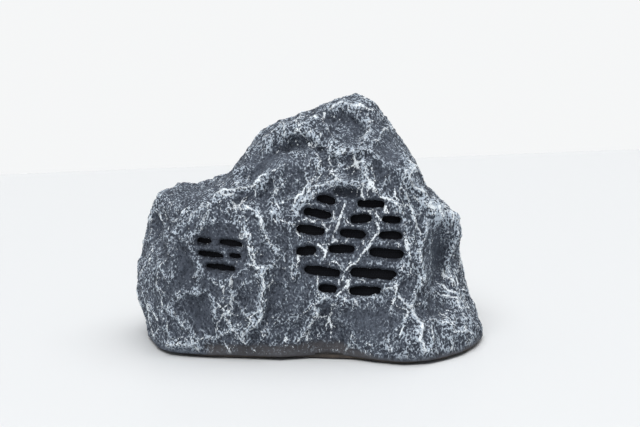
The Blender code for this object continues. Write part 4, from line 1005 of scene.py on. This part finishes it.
# --- Grille cloths, control panel, underside ---
def build_cloth(driver, matrix, radius, height):
    """A stretched disc of open weave, its crossings standing up and down in turn, closed behind."""
    step = WEAVE_PITCH / 2
    count = math.ceil(radius / step)
    bm = bmesh.new()
    spots = {}
    for i in range(-count - 1, count + 2):
        for j in range(-count - 1, count + 2):
            away = math.hypot(i * step, j * step)
            if away < radius + 0.75 * step:
                pull = min(1, radius / max(away, 1e-6))
                rise = WEAVE_RISE * (-1) ** (i + j) * (pull == 1)
                spots[i, j] = bm.verts.new((pull * i * step, pull * j * step, height + rise))
    for i, j in spots:
        corners = [spots.get(key) for key in ((i, j), (i + 1, j), (i + 1, j + 1), (i, j + 1))]
        if all(corners):
            bm.faces.new(corners)
    bmesh.ops.delete(bm, geom=[v for v in bm.verts if not v.link_faces], context="VERTS")
    rim = [e for e in bm.edges if e.is_boundary]
    upper = dict.fromkeys(v for e in rim for v in e.verts)  # each rim vertex once, in a fixed order
    lower = {v: bm.verts.new(v.co - Vector((0, 0, CLOTH_THICK))) for v in upper}
    for e in rim:
        a, b = e.verts
        bm.faces.new((a, b, lower[b], lower[a]))
    # each step round the rim turns the same way about the centre, so its order is that of the angle
    back = bm.faces.new(sorted(lower.values(), key=lambda v: math.atan2(v.co.y, v.co.x)))
    bmesh.ops.triangulate(bm, faces=[back])
    node_name = driver + "_cloth"
    cloth = piece(node_name + "_weave", bm, "grille_cloth", ROOT, matrix, (node_name,), smooth_deg=80)


def mark_outlines(body, u, v):
    """Outlines of a button's generic sign: power, play and pause, minus, or plus."""
    if body == "power":
        return arc(u, v, 2.1, 0.25, -235, 55), bar(u, v + 1.7, 0.25, 1.2)
    if body == "play_pair":
        arrow = [(u - 1.7, v - 1.4), (u + 0.5, v), (u - 1.7, v + 1.4)]
        return arrow, bar(u + 1.0, v, 0.25, 1.3), bar(u + 1.9, v, 0.25, 1.3)
    return (bar(u, v, 1.6, 0.25) if body == "volume_down" else cross(u, v, 1.6, 0.25),)


def build_panel():
    """Dished buttons with their marks, bezels, the flap's ribs, socket liners and screws."""
    for name, (u, v, r, body) in BUTTONS.items():
        bm = bmesh.new()
        top = BUTTON_TOP
        line = (
            (0, top - 0.35), (0.5 * r, top - 0.28), (r - 1.3, top - 0.08), (r - 0.9, top),
            (r - 0.45, top - 0.04), (r - 0.12, top - 0.3), (r, top - 0.7), (r, 1.2), (r + 1, 1.2),
            (r + 1, BUTTON_FOOT), (2, BUTTON_FOOT), (2, STEM_END), (0, STEM_END),
        )
        lathe(bm, line, (u, v), 48)
        piece(name + "_cap", bm, "button_plastic", body, PANEL, (name,))
    for u, v, _, body in BUTTONS.values():
        bm = bmesh.new()
        for outline in mark_outlines(body, u, v):
            prism(bm, outline, BUTTON_TOP - 0.5, BUTTON_TOP - 0.12)
        piece(body + "_mark", bm, "button_plastic", body, PANEL, finish="mark_paint")

    bm = bmesh.new()
    base = PANEL_FACE - 0.05
    bead(bm, round_rect(0, 0, PANEL_HALF[0] - 1.2, PANEL_HALF[1] - 1.2, 5), 1.1, base, PANEL_FACE + 0.5)
    for u, v, r, _ in BUTTONS.values():
        bead(bm, arc(u, v, r + 2.0, 0, 0, 360, 48)[:48], 1.0, base, PANEL_FACE + 0.5)
    bead(bm, arc(*LIGHT_AT, LIGHT_R + 1.3, 0, 0, 360, 32)[:32], 0.8, base, PANEL_FACE + 0.45)
    piece("panel_trim", bm, "panel_plastic", ROOT, PANEL)

    bm = bmesh.new()
    u, v = COVER_AT
    half_u, half_v = COVER_HALF
    bead(bm, round_rect(u, v - 1.2, half_u - 1.0, half_v - 2.2, 1.6), 0.8, COVER_TOP - 0.05, COVER_TOP + 0.35)
    for k in range(5):
        prism(bm, bar(u, v - 3.4 + 0.9 * k, 4.5, 0.2), COVER_TOP - 0.05, COVER_TOP + 0.3)
    piece("port_cover_ribs", bm, "rubber", "port_flap", PANEL)

    for name, ((u, v), bore) in SOCKETS.items():
        bm = bmesh.new()
        line = (
            (bore, PANEL_FACE + 0.12), (bore + 0.7, PANEL_FACE + 0.12), (bore + 0.7, base), (bore - 0.05, base),
            (bore - 0.05, -2), (bore - 0.35, -2), (bore - 0.35, PANEL_FACE - 0.2),
        )
        lathe(bm, line, (u, v), 32)
        piece(name + "_liner", bm, "zinc_steel", ROOT, PANEL)
    head = ((0, 6.0), (1.2, 5.95), (2.2, 5.6), (2.7, 5.1), (2.8, 4.5), (2.75, 4.4), (1.25, 4.4),
            (1.25, -2.6), (0, -4.6))
    for k, at in enumerate(PANEL_SCREWS):
        cross_head(f"panel_screw_{k + 1}", head, PANEL, at, 6.0)


def build_underside():
    """Ringed treads for the feet, and the base screws' heads."""
    upright = Matrix.Identity(4)
    for k, at in enumerate(FEET):
        bm = bmesh.new()
        line = ((0, 1.5), (9, 1.5), (9, 0.6), (8.8, 0.2), (8.4, 0), (7.4, 0), (7.2, 0.5), (6.6, 0.5),
                (6.4, 0), (5.0, 0), (4.8, 0.5), (4.2, 0.5), (4.0, 0), (2.6, 0), (2.4, 0.5), (0, 0.5))
        lathe(bm, line, at, 48)
        piece(f"foot_{k + 1}_grip", bm, "rubber", ROOT, upright, (f"foot_{k + 1}",))
    for k in range(5):
        low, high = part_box(f"base_screw_{k + 1}")
        at = ((low[0] + high[0]) / 2 / MM, (low[1] + high[1]) / 2 / MM)
        r, foot, tip = (high[0] - low[0]) / 2 / MM, low[2] / MM, high[2] / MM
        line = ((0, foot), (r - 0.2, foot), (r, foot + 0.2), (1.7, foot + 1.8), (1.7, tip - 2), (0, tip))
        cross_head(f"base_screw_{k + 1}", line, upright, at, foot, -1)


# --- Stage ---
def paint_flat(obj, colour, roughness):
    made, _, shader = new_material(obj.name + "_look")
    shader.inputs["Base Color"].default_value = (*colour, 1)
    shader.inputs["Roughness"].default_value = roughness
    obj.data.materials.append(made)


def sun(name, place, strength, spread_deg):
    """A broad soft light from this direction, even over the whole table."""
    lamp = bpy.data.lights.new(name, "SUN")
    lamp.energy = strength
    lamp.angle = math.radians(spread_deg)
    obj = add_object(name, lamp)
    obj.location = place
    obj.rotation_euler = Vector(place).to_track_quat("Z", "Y").to_euler()


def sky(world):
    """A studio dome: pale all round the horizon, dim above that and bright overhead."""
    tree = world.node_tree
    direction = node(tree, "ShaderNodeTexCoord").outputs["Generated"]
    up = node(tree, "ShaderNodeSeparateXYZ", {0: direction}).outputs[2]
    ramp = node(tree, "ShaderNodeValToRGB", {0: up})
    stops = ((0.0, HORIZON), (0.1, HORIZON), (0.24, DIM), (0.6, DIM), (0.85, BRIGHT), (1.0, BRIGHT))
    points = ramp.color_ramp.elements
    while len(points) < len(stops):
        points.new(0.5)
    for point, (at, level) in zip(points, stops):
        point.position = at
        point.color = (0.985 * level, 0.995 * level, level, 1)
    tree.links.new(ramp.outputs[0], tree.nodes["Background"].inputs[0])


def set_stage():
    bm = bmesh.new()
    bmesh.ops.create_grid(bm, x_segments=1, y_segments=1, size=1)
    bmesh.ops.scale(bm, vec=(4, 2.6, 1), verts=bm.verts)
    bmesh.ops.translate(bm, vec=(0, TABLE_EDGE - 2.6, 0), verts=bm.verts)
    turn = Matrix.Rotation(math.radians(TABLE_TURN), 3, "Z")
    bmesh.ops.rotate(bm, cent=(0, 0, 0), matrix=turn, verts=bm.verts)
    floor = add_object("floor", mesh_from(bm, "floor"))
    paint_flat(floor, (0.72, 0.733, 0.745), 0.5)

    world = bpy.data.worlds.new("studio")
    bpy.context.scene.world = world
    world.use_nodes = True
    sky(world)
    sun("key", (-0.5, -1.3, 2.0), 2.1, 35)
    sun("top", (0.6, 0.3, 2.0), 1.15, 50)


def set_camera():
    lens = bpy.data.cameras.new("camera")
    lens.lens, lens.sensor_width = LENS, SENSOR
    camera = add_object("camera", lens)
    camera.location = CAMERA_AT
    camera.rotation_euler = (math.radians(90 - CAMERA_DOWN), 0, 0)
    bpy.context.scene.camera = camera
    bpy.context.scene.view_settings.view_transform = "Standard"


def build_rock():
    rock, openness = fine_shell()
    sculpt(rock.data, openness)
    crinkle_mesh(rock, CRINKLE)
    rock.data.materials.clear()
    rock.data.materials.append(rock_material())
    rock.data.shade_smooth()
    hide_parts("rock_shell")
    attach(rock, ROOT)


set_stage()
set_camera()
build_rock()
build_cloth("woofer", WOOFER, *CLOTHS[0])
build_cloth("tweeter", TWEETER, *CLOTHS[1])
build_panel()
build_underside()
for obj in nodes.values():
    finish_node(obj)
